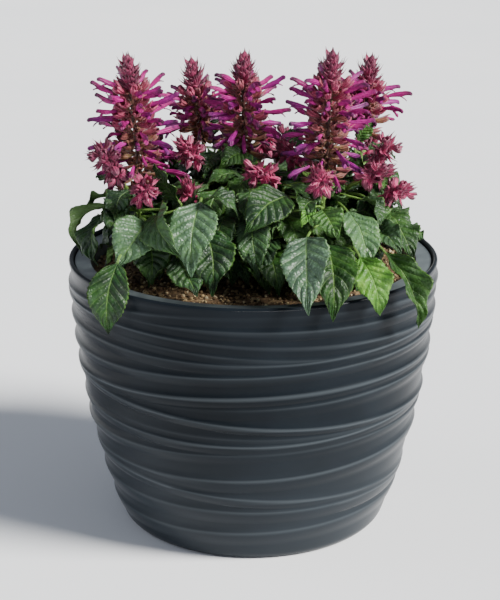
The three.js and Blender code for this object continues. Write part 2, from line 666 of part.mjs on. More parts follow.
// A square stem that leaves its start one way and meets its end another, over an optional straight foot.
function squareStem({ start, startWay, end, endWay, foot = [], radii, steps }) {
  const reach = 0.4 * start.distanceTo(end);
  const bend = start.clone().addScaledVector(startWay, reach);
  const curve = new THREE.CubicBezierCurve3(start, bend, end.clone().addScaledVector(endWay, -reach), end);
  const middles = [...foot, ...curve.getPoints(steps)];
  const tangents = Array.from({ length: steps + 1 }, (_, i) => curve.getTangent(i / steps));
  const ways = [...foot.map(() => startWay), ...tangents];
  const corner = new THREE.Vector3(0.6, 0.8, 0);
  const rings = middles.map((middle, i) => {
    const u = corner.clone().addScaledVector(ways[i], -ways[i].dot(corner)).normalize();
    const radius = mix(...radii, i / (middles.length - 1));
    return ringRound(middle, u, ways[i].clone().cross(u), radius, 4);
  });
  const quarters = [0, 0.25, 0.5, 0.75];
  const line = middles.slice(1).flatMap((p, i) => quarters.map((t) => middles[i].clone().lerp(p, t)));
  return { solid: loft(rings), line };
}

const stemEnd = (head) => vec(head.base).addScaledVector(headAxis(head), -gap);

function mainStem(plant) {
  const [x, y] = plant.root;
  const head = "spike" in plant ? spikes[plant.spike] : budHeads[plant.bud];
  return squareStem({
    foot: [new THREE.Vector3(x, y, holeFoot + gap)],
    start: new THREE.Vector3(x, y, shootStart - 6), startWay: upward,
    end: stemEnd(head), endWay: headAxis(head),
    radii: [stemFootRadius, stemTopRadius], steps: 4,
  });
}

// A side shoot leaves the main stem outwards and turns up into its head, or runs on to carry only leaves.
function sideShoot(plant, end, endWay, endRadius) {
  const start = new THREE.Vector3(...plant.root, shootStart);
  const startWay = end.clone().sub(start).normalize().addScaledVector(upward, 0.15).normalize();
  return squareStem({ start, startWay, end, endWay, radii: [shootRadius + 0.3, endRadius], steps: 4 });
}

const headShoot = (plant, head) => sideShoot(plant, stemEnd(head), headAxis(head), shootRadius);

function leafyShoot(plant, tip) {
  const outwards = vec(tip).setZ(0).sub(new THREE.Vector3(...plant.root, 0)).normalize();
  return sideShoot(plant, vec(tip), outwards, shootRadius * 0.6);
}

// How ill a place on a stem suits a leaf's stalk: its distance from the blade's base, and more where it is
// above the base or level with it along the blade.
function springCost(p, [base, tip], drop) {
  const away = p.clone().sub(vec(base));
  const ahead = away.dot(vec(tip).sub(vec(base)).normalize());
  return away.length() + 2 * Math.max(0, away.z + 2 + drop) + 4 * Math.max(0, ahead + stalkRoom);
}

const springPoint = (lines, leaf, drop) =>
  lines.flat().reduce((best, p) => (springCost(p, leaf, drop) < springCost(best, leaf, drop) ? p : best));

// A leaf's blade turned about its base: down by the droop and sideways by the yaw.
function swung([base, tip, width, arch, face, fold], [droop, yaw]) {
  const start = vec(base);
  const chord = vec(tip).sub(start);
  const hinge = new THREE.Vector3(-chord.y, chord.x, 0).normalize();
  const turn = (v) =>
    v.applyAxisAngle(hinge, radians(droop)).applyAxisAngle(new THREE.Vector3(0, 0, 1), radians(yaw));
  return { base: start, chord: turn(chord), width, arch, face: turn(vec(face)), fold: radians(fold) };
}

// Half the blade's width at a share of its length: ovate, broadest a little below the middle.
const bladeOutline = (t) => Math.sin(Math.PI * Math.pow(t, 0.78)) ** 0.9;

// A leaf in one skin, and its blade alone: a thin stalk from the stem, then the arched, folded blade with a
// toothed, waved edge.
function leafSolid(leaf, shares, swing, spring, swell) {
  const { base, chord, width, arch, face, fold } = swung(leaf, swing);
  const along = chord.clone().normalize();
  const up = face.addScaledVector(along, -face.dot(along)).normalize();
  const side = along.clone().cross(up);
  const stalkEnd = chord.clone().addScaledVector(up, 4 * arch).normalize();
  const bend = base.clone().addScaledVector(stalkEnd, -0.4 * spring.distanceTo(base));
  const stalk = new THREE.QuadraticBezierCurve3(spring, bend, base);
  const ring = (centre, halfWidth, rise, leftWave, rightWave, halfThick, ringUp, ringSide) => [
    centre.clone().addScaledVector(ringSide, -halfWidth).addScaledVector(ringUp, rise + leftWave),
    centre.clone().addScaledVector(ringUp, halfThick),
    centre.clone().addScaledVector(ringSide, halfWidth).addScaledVector(ringUp, rise + rightWave),
    centre.clone().addScaledVector(ringUp, -halfThick),
  ];
  const stalkWay = stalk.getTangent(0.5);
  const stalkUp = up.clone().addScaledVector(stalkWay, -up.dot(stalkWay)).normalize();
  const stalkSide = stalkWay.clone().cross(stalkUp);
  const thick = petioleRadius + swell;
  const midStalk = ring(stalk.getPoint(0.5), thick, 0, 0, 0, thick, stalkUp, stalkSide);
  const neckUp = up.clone().addScaledVector(stalkEnd, -up.dot(stalkEnd)).normalize();
  const rings = spring.distanceTo(base) > shortStalk ? [midStalk] : [];
  shares.forEach((t, i) => {
    const centre = base.clone().addScaledVector(chord, t).addScaledVector(up, 4 * arch * t * (1 - t));
    const tooth = 1 + (i % 2 === 1 ? toothDepth : -toothDepth);
    const half = (width / 2) * bladeOutline(t) * tooth + swell;
    const wave = i === 0 ? 0 : edgeWave * (i % 2 === 1 ? 1 : -1) * Math.min(1, width / 30);
    const halfWidth = Math.max(petioleRadius, half * Math.cos(fold));
    const rise = i === 0 ? 0 : half * Math.sin(fold);
    const halfThick = (i === 0 ? petioleRadius : bladeHalfThickness) + swell;
    rings.push(ring(centre, halfWidth, rise, wave, -wave, halfThick, i === 0 ? neckUp : up, side));
  });
  const point = base.clone().add(chord);
  return { whole: loft(rings, spring, point), blade: loft(rings.slice(1 - shares.length), undefined, point) };
}

function tierLeaves() {
  return tiers.flatMap(({ bearings, base, tip, width }, tier) =>
    bearings.map((bearing, k) => {
      const seed = 70000 + 100 * tier + 4 * k;
      const swings = tierScatter;
      const a = radians(bearing + swings.bearing * (draw(seed) - 0.5));
      const b = a + radians(swings.sweep * (draw(seed + 1) - 0.5));
      const place = ([r, z], angle) => [r * Math.sin(angle), r * Math.cos(angle), z];
      const end = place(tip, b);
      end[2] += swings.lift * (draw(seed + 2) - 0.5);
      const face = [0.8 * Math.sin(a), 0.8 * Math.cos(a), 0.7];
      return [place(base, a), end, width * mix(...leafSize, draw(seed + 3)), tierArch, face, tierFold];
    }),
  );
}

// The pair of leaves at a stem's node under its head, opposite each other.
function pairAt(node, seed) {
  return [0, Math.PI].map((turn, i) => {
    const bearing = 2 * Math.PI * draw(seed) + turn;
    const size = mix(...pairSize, draw(seed + 2 + i));
    const out = new THREE.Vector3(Math.cos(bearing), Math.sin(bearing), 0);
    const beyond = (p, along, rise) => p.clone().addScaledVector(out, along).addScaledVector(upward, rise);
    const base = beyond(node, pairLeaf.out, pairLeaf.up);
    const tip = beyond(base, pairLeaf.length * size, -pairLeaf.drop);
    const face = [0.5 * out.x, 0.5 * out.y, 1];
    return [base.toArray(), tip.toArray(), pairLeaf.width * size, pairLeaf.arch, face, pairLeaf.fold];
  });
}

// Bounding boxes that miss each other settle most pairs without a cut.
function crosses(a, b) {
  const [boxA, boxB] = [a.boundingBox(), b.boundingBox()];
  const apart = [0, 1, 2].some((k) => boxA.max[k] < boxB.min[k] || boxB.max[k] < boxA.min[k]);
  return !apart && a.intersect(b).volume() > 0;
}

// Grows every plant: stems first, then the listed leaves from the widest down, the pairs and the tiers, each
// turned until it is clear of all the other pieces. A spare leaf that would cross its own plant is left out.
function growPlants(heads, fixed) {
  const grown = plants.map((plant) => {
    const stems = [
      mainStem(plant),
      ...plant.buds.map((k) => headShoot(plant, budHeads[k])),
      ...plant.leafy.map((tip) => leafyShoot(plant, tip)),
    ];
    return { parts: stems.map((stem) => stem.solid), lines: stems.map((stem) => stem.line) };
  });
  const placeLeaf = (leaf, plant, spare = false) => {
    const others = [...heads, ...fixed, ...grown.filter((g) => g !== plant).flatMap((g) => g.parts)];
    const tries = springDrops.flatMap((drop) => turns.map((turn) => ({ turn, drop })));
    const grow = ({ turn, drop }, swell) =>
      leafSolid(leaf, spare ? spareRings : bladeRings, turn, springPoint(plant.lines, leaf, drop), swell);
    const clear = tries.filter((attempt) => {
      const { whole } = grow(attempt, testSwell);
      return !others.some((other) => crosses(whole, other));
    });
    const freest = clear.find((attempt) => {
      const { blade } = grow(attempt, testSwell);
      return !plant.parts.some((part) => crosses(blade, part));
    });
    const chosen = freest ?? (spare ? undefined : clear[0]);
    if (chosen) plant.parts.push(grow(chosen, 0).whole);
  };
  const listed = plants.flatMap((plant, k) => plant.leaves.map((leaf) => [leaf, grown[k]]));
  listed.sort(([a], [b]) => b[2] - a[2]);
  for (const [leaf, plant] of listed) placeLeaf(leaf, plant);
  grown.forEach((plant, k) => {
    const flowering = plant.lines.slice(0, plants[k].buds.length + 1);
    const seed = (i) => 90000 + 100 * k + 10 * i;
    const pairs = flowering.flatMap((line, i) => pairAt(line[line.length - pairNode], seed(i)));
    for (const leaf of pairs) placeLeaf(leaf, plant, true);
  });
  for (const leaf of tierLeaves()) {
    const costs = grown.map((g) => springCost(springPoint(g.lines, leaf, 0), leaf, 0));
    const least = Math.min(...costs);
    if (least < farthestSpring) placeLeaf(leaf, grown[costs.indexOf(least)], true);
  }
  return grown.map((g) => g.parts.reduce((joined, part) => joined.add(part)));
}

// ---- the whole pot of salvias ----

const taken = [...spikes, ...budHeads].map((head) => ({ owner: head, beads: coreBeads(head) }));
const budSolids = growHeads(budHeads, budWhorlsOf, 40000, taken).map(headSolid);
const spikeSolids = growHeads(spikes, spikeWhorls, 5000, taken).map(headSolid);
const potSolids = [planter(), liner(), soil()];
const plantSolids = growPlants([...spikeSolids, ...budSolids], potSolids);

const pottedSalvia = new THREE.Group();
pottedSalvia.add(meshOf("planter", potSolids[0], potPlastic));
pottedSalvia.add(meshOf("liner", potSolids[1], linerPlastic));
pottedSalvia.add(meshOf("soil", potSolids[2], soilMix));
const numbered = (word, solids, finish) =>
  solids.forEach((solid, k) => pottedSalvia.add(meshOf(`${word}_${k + 1}`, solid, finish)));
numbered("plant", plantSolids, foliage);
numbered("flower_spike", spikeSolids, spikeBloom);
numbered("bud_head", budSolids, budBloom);

export default pottedSalvia;
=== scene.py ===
import bpy
import numpy as np
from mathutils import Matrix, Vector
from mathutils.kdtree import KDTree


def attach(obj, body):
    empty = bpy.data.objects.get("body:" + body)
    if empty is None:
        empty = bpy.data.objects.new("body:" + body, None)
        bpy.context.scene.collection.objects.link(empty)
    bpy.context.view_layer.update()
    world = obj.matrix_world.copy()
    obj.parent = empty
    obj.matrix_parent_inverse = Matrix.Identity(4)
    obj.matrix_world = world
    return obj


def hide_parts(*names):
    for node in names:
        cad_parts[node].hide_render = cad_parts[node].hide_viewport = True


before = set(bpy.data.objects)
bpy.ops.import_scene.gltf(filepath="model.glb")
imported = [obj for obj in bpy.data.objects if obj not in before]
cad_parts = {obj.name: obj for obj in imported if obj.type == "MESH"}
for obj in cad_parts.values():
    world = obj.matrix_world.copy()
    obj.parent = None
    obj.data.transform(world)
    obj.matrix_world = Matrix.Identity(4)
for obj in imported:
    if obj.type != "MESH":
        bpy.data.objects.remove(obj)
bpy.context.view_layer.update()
mm = 0.001
up = np.array([0.0, 0.0, 1.0])


# numbers and vectors

def linear(colour):
    # an sRGB hex colour as linear red, green, blue and full alpha
    parts = [int(colour[i:i + 2], 16) / 255 for i in (1, 3, 5)]
    return tuple(c / 12.92 if c <= 0.04045 else ((c + 0.055) / 1.055) ** 2.4 for c in parts) + (1.0,)


def draw(n):
    # a number from 0 to 1 that depends only on the whole number given, or on each of an array of them
    h = np.asarray(n).astype(np.uint64)
    for shift, factor in ((15, 2246822519), (13, 3266489917)):
        h = ((h ^ (h >> np.uint64(shift))) * np.uint64(factor)) & np.uint64(0xFFFFFFFF)
    return (h ^ (h >> np.uint64(16))) / 4294967296.0


def mix(a, b, t):
    return a + (b - a) * t


def smooth(low, high, x):
    # 0 below low, 1 above high, and an even S between them
    t = np.clip((x - low) / (high - low), 0, 1)
    return t * t * (3 - 2 * t)


def unit(v):
    v = np.asarray(v, float)
    return v / np.linalg.norm(v, axis=-1, keepdims=True)


def turned(v, axis, degrees):
    # v turned about a unit axis
    a = np.radians(degrees)
    return v * np.cos(a) + np.cross(axis, v) * np.sin(a) + axis * (axis @ v) * (1 - np.cos(a))


def across(direction):
    # two directions square to a line and to each other
    side = up if abs(direction[2]) < 0.9 else np.array([0.0, 1.0, 0.0])
    u = unit(np.cross(side, direction))
    return u, np.cross(direction, u)


def roundTurn(count):
    # bearings that stand evenly round a full turn
    return 2 * np.pi * np.arange(count) / count


def lattice(x, y, seed):
    # smooth noise from -1 to 1: a drawn number at each whole place, eased between the four round a point
    x0, y0 = np.floor(x).astype(int), np.floor(y).astype(int)
    fx, fy = smooth(0, 1, x - x0), smooth(0, 1, y - y0)
    at = lambda i, j: draw(seed + (x0 + i + 500) * 1009 + (y0 + j + 500))
    low, high = mix(at(0, 0), at(1, 0), fx), mix(at(0, 1), at(1, 1), fx)
    return 2 * mix(low, high, fy) - 1


# one node, and its output by number or name; a setting is an input's value, a ramp's stops or a property
def addNode(tree, kind, settings=None, links=None, give=0):
    node = tree.nodes.new("ShaderNode" + kind)
    for key, value in (settings or {}).items():
        if key == "stops":
            ramp = node.color_ramp.elements
            ramp[0].position, ramp[1].position = value[0][0], value[-1][0]
            for place, _ in value[1:-1]:
                ramp.new(place)
            for element, (_, colour) in zip(ramp, value):
                element.color = linear(colour)
        elif isinstance(key, int) or key in node.inputs:
            node.inputs[key].default_value = value
        else:
            setattr(node, key, value)
    for key, source in (links or {}).items():
        tree.links.new(source, node.inputs[key])
    return node.outputs[give] if node.outputs else node


def newMaterial(name, *marks):
    # an empty material, its tree, the place on the piece that its patterns read and the piece's own marks
    material = bpy.data.materials.new(name)
    material.use_nodes = True
    tree = material.node_tree
    tree.nodes.clear()
    read = [addNode(tree, "Attribute", {"attribute_name": mark}, {}, "Fac") for mark in marks]
    return material, tree, addNode(tree, "TexCoord", {}, {}, "Object"), *read


def surface(material, settings, colour, roughness=None, bump=None):
    # the shader at the end of a material's tree
    links = {"Base Color": colour}
    if roughness:
        links["Roughness"] = roughness
    if bump:
        links["Normal"] = bump
    shader = addNode(material.node_tree, "BsdfPrincipled", settings, links)
    addNode(material.node_tree, "OutputMaterial", {}, {"Surface": shader})
    return material


# Injection-moulded polypropylene in anthracite: the mould's fine spark grain gives it a satin, slightly
# uneven gloss with a soft sheen at a slant; a painted highlight makes its crests paler, and a painted
# reflection of the floor makes it paler towards the foot.
def anthracitePolypropylene():
    material, tree, place, crest = newMaterial("anthracite_polypropylene", "crest")
    cloud = addNode(tree, "TexNoise", {"Scale": 14.0, "Detail": 3.0}, {"Vector": place})
    # the real grain is about 0.1 mm and is drawn at 0.9 mm so that it shows
    grain = addNode(tree, "TexNoise", {"Scale": 1100.0, "Detail": 2.0}, {"Vector": place})
    body = addNode(tree, "ValToRGB", {"stops": [(0.3, "#0f1419"), (0.7, "#161c22")]}, {0: cloud})
    # painted reflection of the bright floor: a paler grey that grows towards the foot
    height = addNode(tree, "SeparateXYZ", {}, {0: place}, 2)
    reflectionFade = {"From Min": 0.02, "From Max": 0.15, "To Min": 0.36, "To Max": 0.0}
    dustAndFloorReflection = addNode(tree, "MapRange", reflectionFade, {"Value": height})
    footReflected = addNode(tree, "Mix", {"data_type": "RGBA", 7: linear("#40464c")}, {0: dustAndFloorReflection, 6: body}, 2)
    # painted highlight: a paler grey along each crest, as far as the crest mark reaches
    highlightShare = addNode(tree, "Math", {"operation": "MULTIPLY", 1: 0.48}, {0: crest})
    colour = addNode(tree, "Mix", {"data_type": "RGBA", 7: linear("#5b6267")}, {0: highlightShare, 6: footReflected}, 2)
    gloss = addNode(tree, "MapRange", {"To Min": 0.3, "To Max": 0.4}, {"Value": cloud})
    bump = addNode(tree, "Bump", {"Strength": 0.1, "Distance": 0.0004}, {"Height": grain})
    sheen = {"Sheen Weight": 0.26, "Sheen Roughness": 0.25}
    return surface(material, {"IOR": 1.5, "Specular IOR Level": 0.09, **sheen}, colour, gloss, bump)


# Thermoformed grey polystyrene: a smooth sheet with a faint drawn haze, dusty and pale, and darker
# towards its front with painted shade of the leaves that hang over it.
def greyPolystyrene():
    material, tree, place = newMaterial("grey_polystyrene")
    haze = addNode(tree, "TexNoise", {"Scale": 45.0, "Detail": 4.0}, {"Vector": place})
    # the dust's real specks are about 0.2 mm and are drawn at 1.1 mm
    dustAndFloorReflection = addNode(tree, "TexNoise", {"Scale": 900.0, "Detail": 2.0}, {"Vector": place})
    stops = [(0.25, "#4a5154"), (0.6, "#656e71"), (0.85, "#838c8e")]
    dry = addNode(tree, "ValToRGB", {"stops": stops}, {0: haze})
    # painted shade: darker towards the front of the flange, where the leaves above shade it
    back = addNode(tree, "SeparateXYZ", {}, {0: place}, 1)
    frontShadeFade = {"From Min": -0.15, "From Max": -0.06, "To Min": 0.85, "To Max": 0.0}
    frontShade = addNode(tree, "MapRange", frontShadeFade, {"Value": back})
    colour = addNode(tree, "Mix", {"data_type": "RGBA", 7: linear("#1d2124")}, {0: frontShade, 6: dry}, 2)
    gloss = addNode(tree, "MapRange", {"To Min": 0.22, "To Max": 0.42}, {"Value": haze})
    bump = addNode(tree, "Bump", {"Strength": 0.15, "Distance": 0.0003}, {"Height": dustAndFloorReflection})
    return surface(material, {"IOR": 1.58}, colour, gloss, bump)


# Coir, bark and vermiculite: crumbs of 1 to 3 mm with pale flakes among them, dull all over.
def pottingMix():
    material, tree, place, chance = newMaterial("potting_mix", "chance")
    crumbs = addNode(tree, "TexVoronoi", {"Scale": 480.0}, {"Vector": place})
    cloud = addNode(tree, "TexNoise", {"Scale": 160.0, "Detail": 5.0}, {"Vector": place})
    stops = [(0.0, "#2c2016"), (0.2, "#59432f"), (0.4, "#83694b"), (0.65, "#b0976e"), (0.85, "#cbb68c"),
             (1.0, "#e6d8b4")]
    grain = addNode(tree, "ValToRGB", {"stops": stops}, {0: chance})
    shade = addNode(tree, "ValToRGB", {"stops": [(0.3, "#7d7d7d"), (0.7, "#ffffff")]}, {0: cloud})
    shading = {"data_type": "RGBA", "blend_type": "MULTIPLY", 0: 0.8}
    colour = addNode(tree, "Mix", shading, {6: grain, 7: shade}, 2)
    bump = addNode(tree, "Bump", {"Strength": 0.7, "Distance": 0.0009}, {"Height": crumbs})
    return surface(material, {"Roughness": 0.93, "IOR": 1.4}, colour, None, bump)


# A salvia's leaf: a dark green blade with a waxy cuticle, quilted between sunken veins, matter and paler
# underneath, and yellower where it thins to its edge. Veins follow the blade's places along and across it.
veins = {"count": 7.6, "slant": 1.9}


def salviaLeaf():
    material, tree, place, along, wide, tone, under, wax = newMaterial(
        "salvia_leaf", "along", "across", "tone", "under", "wax")
    off = addNode(tree, "Math", {"operation": "ABSOLUTE"}, {0: wide})
    counted = addNode(tree, "Math", {"operation": "MULTIPLY", 1: veins["count"]}, {0: along})
    slanted = addNode(tree, "Math", {"operation": "MULTIPLY_ADD", 1: -veins["slant"]}, {0: off, 2: counted})
    apart = addNode(tree, "Math", {"operation": "PINGPONG", 1: 0.5}, {0: slanted})
    soft = {"interpolation_type": "SMOOTHSTEP"}
    lateralLine = {**soft, "From Max": 0.09, "To Min": 0.5, "To Max": 0.0}
    ribLine = {**soft, "From Min": 0.015, "From Max": 0.06, "To Min": 1.0, "To Max": 0.0}
    stalkEnd = {"From Min": -0.02, "From Max": 0.03, "To Min": 1.0, "To Max": 0.0}
    lateral = addNode(tree, "MapRange", lateralLine, {"Value": apart})
    rib = addNode(tree, "MapRange", ribLine, {"Value": off})
    vein = addNode(tree, "Math", {"operation": "MAXIMUM"}, {0: lateral, 1: rib})
    stalk = addNode(tree, "MapRange", stalkEnd, {"Value": along})
    veined = addNode(tree, "Math", {"operation": "MULTIPLY", 1: 0.34}, {0: vein})
    share = addNode(tree, "Math", {"operation": "MAXIMUM"}, {0: veined, 1: stalk})
    # the finest net of veins is about 1.4 mm across and is drawn at 3.6
    net = addNode(tree, "TexVoronoi", {"feature": "DISTANCE_TO_EDGE", "Scale": 280.0}, {"Vector": place})
    cloud = addNode(tree, "TexNoise", {"Scale": 90.0, "Detail": 5.0}, {"Vector": place})
    darkStops = [(0.32, "#081908"), (0.55, "#102c0d"), (0.75, "#1d4514")]
    lightStops = [(0.3, "#3a6a1c"), (0.55, "#528428"), (0.8, "#7ba53a")]
    dark, light = (addNode(tree, "ValToRGB", {"stops": stops}, {0: cloud})
                   for stops in (darkStops, lightStops))
    # lighter patches some 3 cm wide
    patch = addNode(tree, "TexNoise", {"Scale": 28.0, "Detail": 2.0}, {"Vector": place})
    lifted = addNode(tree, "MapRange", {"From Min": 0.5, "From Max": 0.75, "To Max": 0.25}, {"Value": patch})
    paleness = addNode(tree, "Math", {"operation": "ADD", "use_clamp": True}, {0: tone, 1: lifted})
    blade = addNode(tree, "Mix", {"data_type": "RGBA"}, {0: paleness, 6: dark, 7: light}, 2)
    thinness = addNode(tree, "MapRange", {**soft, "From Min": 0.9, "To Max": 0.35}, {"Value": off})
    edged = addNode(tree, "Mix", {"data_type": "RGBA", 7: linear("#638c2f")}, {0: thinness, 6: blade}, 2)
    underneath = addNode(tree, "Math", {"operation": "MULTIPLY", 1: 0.65}, {0: under})
    backed = addNode(tree, "Mix", {"data_type": "RGBA", 7: linear("#5d7c45")}, {0: underneath, 6: edged}, 2)
    height = addNode(tree, "MapRange", {**soft, "From Max": 0.36, "To Min": 0.5}, {"Value": net})
    # painted sheen: a bluish grey-green mixed in by how waxy a leaf is, most of all on top of the net's
    # little cushions
    sheenOnCushions = addNode(tree, "Math", {"operation": "MULTIPLY"}, {0: wax, 1: height})
    paintedSheen = addNode(tree, "Math", {"operation": "MULTIPLY", 1: 0.4}, {0: sheenOnCushions})
    bloom = addNode(tree, "Mix", {"data_type": "RGBA", 7: linear("#7f9c88")}, {0: paintedSheen, 6: backed}, 2)
    colour = addNode(tree, "Mix", {"data_type": "RGBA", 7: linear("#769c4c")}, {0: share, 6: bloom}, 2)
    # the veins are sunk, and the blade swells between them
    sunk = addNode(tree, "Math", {"operation": "MULTIPLY_ADD", 1: -0.9}, {0: vein, 2: height})
    swollen = addNode(tree, "MapRange", {**soft, "From Max": 0.45, "To Max": 0.8}, {"Value": apart})
    relief = addNode(tree, "Math", {"operation": "ADD"}, {0: sunk, 1: swollen})
    bump = addNode(tree, "Bump", {"Strength": 0.9, "Distance": 0.0007}, {"Height": relief})
    dull = addNode(tree, "MapRange", {"To Min": 0.42, "To Max": 0.28}, {"Value": wax})
    gloss = addNode(tree, "Math", {"operation": "MULTIPLY_ADD", 1: 0.1}, {0: cloud, 2: dull})
    flesh = {"Subsurface Weight": 0.06, "Subsurface Radius": (0.002, 0.003, 0.001)}
    return surface(material, {"IOR": 1.46, "Specular IOR Level": 0.33, **flesh}, colour, gloss, bump)


# A square salvia stem: green and sappy with fine lengthwise grooves, and dull wine red inside a flower head.
def salviaStem():
    material, tree, place, tone = newMaterial("salvia_stem", "tone")
    # the grooves are about 0.3 mm apart and are drawn at 1.4 mm, seven times as long as they are wide
    drawn = addNode(tree, "Mapping", {"Scale": (1.0, 1.0, 0.15)}, {"Vector": place})
    fibre = addNode(tree, "TexNoise", {"Scale": 700.0, "Detail": 3.0}, {"Vector": drawn})
    cloud = addNode(tree, "TexNoise", {"Scale": 40.0, "Detail": 3.0}, {"Vector": place})
    stops = [(0.25, "#4d4a2a"), (0.45, "#547134"), (0.7, "#7d9a4a")]
    green = addNode(tree, "ValToRGB", {"stops": stops}, {0: cloud})
    colour = addNode(tree, "Mix", {"data_type": "RGBA", 7: linear("#4a2c26")}, {0: tone, 6: green}, 2)
    bump = addNode(tree, "Bump", {"Strength": 0.4, "Distance": 0.0004}, {"Height": fibre})
    flesh = {"Subsurface Weight": 0.05, "Subsurface Radius": (0.001, 0.002, 0.001)}
    return surface(material, {"Roughness": 0.46, "IOR": 1.42, **flesh}, colour, None, bump)


# The thin skins of a head. Calyx: papery and downy, rose when young and tan when dry. Bract: a fleshy scale,
# pink or wine red, dark at its drawn-out tip. Corolla: a velvety tube, magenta or violet, darkest at its end.
# Each has a ramp from foot to tip for its fresh and for its old tone, and a colour for its lengthwise
# streaks.
skins = {
    "calyx": {"name": "downy_calyx",
              "fresh": [(0.0, "#8a6644"), (0.35, "#9a304f"), (0.8, "#b04066"), (1.2, "#7a2444")],
              "old": [(0.0, "#5c5230"), (0.4, "#8a7242"), (0.8, "#905c48"), (1.2, "#5c3230")],
              "streak": "#5c1c30", "streakShare": 0.5, "edge": "#5c2436", "edgeShare": 0.0,
              "bloom": "#c0707f", "roughness": 0.55, "sheen": 0.15},
    "bract": {"name": "fleshy_bract",
              "fresh": [(0.0, "#d67878"), (0.25, "#d64480"), (0.6, "#bb2d65"), (0.9, "#86204a"),
                        (1.15, "#4e122c")],
              "old": [(0.0, "#7c4644"), (0.35, "#85304f"), (0.7, "#68203e"), (1.1, "#3c1426")],
              "streak": "#ee9cb8", "streakShare": 0.14, "edge": "#f3b4c6", "edgeShare": 0.22,
              "bloom": "#c2507c", "roughness": 0.42, "sheen": 0.1},
    "corolla": {"name": "velvet_corolla",
                "fresh": [(0.0, "#c93296"), (0.4, "#b4147e"), (0.8, "#960a64"), (1.15, "#3e0c2e")],
                "old": [(0.0, "#b02c96"), (0.4, "#991682"), (0.8, "#7c1074"), (1.15, "#340c38")],
                "streak": "#60084a", "streakShare": 0.4, "edge": "#b01880", "edgeShare": 0.0,
                "bloom": "#c63c9c", "roughness": 0.45, "sheen": 0.0},
}
rampReach = 1.3  # how far past the tip a skin's ramps may be read


def headSkin(skin):
    material, tree, place, along, tone, chance, aroundSide, aroundTop = newMaterial(
        skin["name"], "along", "tone", "chance", "aroundSide", "aroundTop")
    mottle = addNode(tree, "TexNoise", {"Scale": 400.0, "Detail": 3.0}, {"Vector": place})
    shifted = addNode(tree, "Math", {"operation": "MULTIPLY_ADD", 1: 0.3}, {0: chance, 2: along})
    scaled = addNode(tree, "Math", {"operation": "DIVIDE", 1: rampReach}, {0: shifted})
    fresh, old = ([(at / rampReach, colour) for at, colour in skin[key]] for key in ("fresh", "old"))
    ramps = [addNode(tree, "ValToRGB", {"stops": stops}, {0: scaled}) for stops in (fresh, old)]
    body = addNode(tree, "Mix", {"data_type": "RGBA"}, {0: tone, 6: ramps[0], 7: ramps[1]}, 2)
    # ten lines round the piece
    angle = addNode(tree, "Math", {"operation": "ARCTAN2"}, {0: aroundTop, 1: aroundSide})
    counted = addNode(tree, "Math", {"operation": "MULTIPLY", 1: 10.0}, {0: angle})
    rib = addNode(tree, "Math", {"operation": "COSINE"}, {0: counted})
    line = addNode(tree, "MapRange", {"From Min": 0.3, "To Max": skin["streakShare"]}, {"Value": rib})
    lined = addNode(tree, "Mix", {"data_type": "RGBA", 7: linear(skin["streak"])}, {0: line, 6: body}, 2)
    # the thin rims at the two sides are lighter on a fresh piece
    off = addNode(tree, "Math", {"operation": "ABSOLUTE"}, {0: aroundSide})
    rim = addNode(tree, "MapRange", {"From Min": 0.7, "To Max": skin["edgeShare"]}, {"Value": off})
    young = addNode(tree, "Math", {"operation": "SUBTRACT", 0: 1.0}, {1: tone})
    rimmed = addNode(tree, "Math", {"operation": "MULTIPLY", "use_clamp": True}, {0: rim, 1: young})
    edged = addNode(tree, "Mix", {"data_type": "RGBA", 7: linear(skin["edge"])}, {0: rimmed, 6: lined}, 2)
    bloom = addNode(tree, "MapRange", {"From Min": 0.45, "From Max": 0.8, "To Max": 0.4}, {"Value": mottle})
    colour = addNode(tree, "Mix", {"data_type": "RGBA", 7: linear(skin["bloom"])}, {0: bloom, 6: edged}, 2)
    relief = addNode(tree, "Math", {"operation": "MULTIPLY_ADD", 1: 0.8}, {0: rib, 2: mottle})
    bump = addNode(tree, "Bump", {"Strength": 0.6, "Distance": 0.0006}, {"Height": relief})
    settings = {"Roughness": skin["roughness"], "IOR": 1.43, "Sheen Weight": skin["sheen"],
                "Sheen Roughness": 0.4, "Subsurface Weight": 0.08, "Subsurface Radius": (0.003, 0.001, 0.002)}
    return surface(material, settings, colour, None, bump)


materials = {"pot": anthracitePolypropylene(), "liner": greyPolystyrene(), "soil": pottingMix(),
             "leaf": salviaLeaf(), "stem": salviaStem(),
             **{key: headSkin(skin) for key, skin in skins.items()}}
print("materials made")


# meshes

def tubeFaces(rows, columns):
    # one closed tube: quads between its rings, and a fan of triangles onto the pole at each end
    ring = np.arange(rows * columns).reshape(rows, columns)
    following = np.roll(ring, -1, axis=1)
    quads = np.stack([ring[:-1], following[:-1], following[1:], ring[1:]], -1).reshape(-1, 4)
    pole = np.full(columns, rows * columns)
    fans = np.concatenate([
        np.stack([pole, following[0], ring[0]], -1),
        np.stack([pole + 1, ring[-1], following[-1]], -1),
    ])
    return quads, fans


def tubes(points, ends, **marks):
    # closed tubes: their points by tube, ring and side, two poles each, and marks, which are numbers that a
    # material reads
    return {"points": points, "ends": np.asarray(ends, float), "marks": marks}


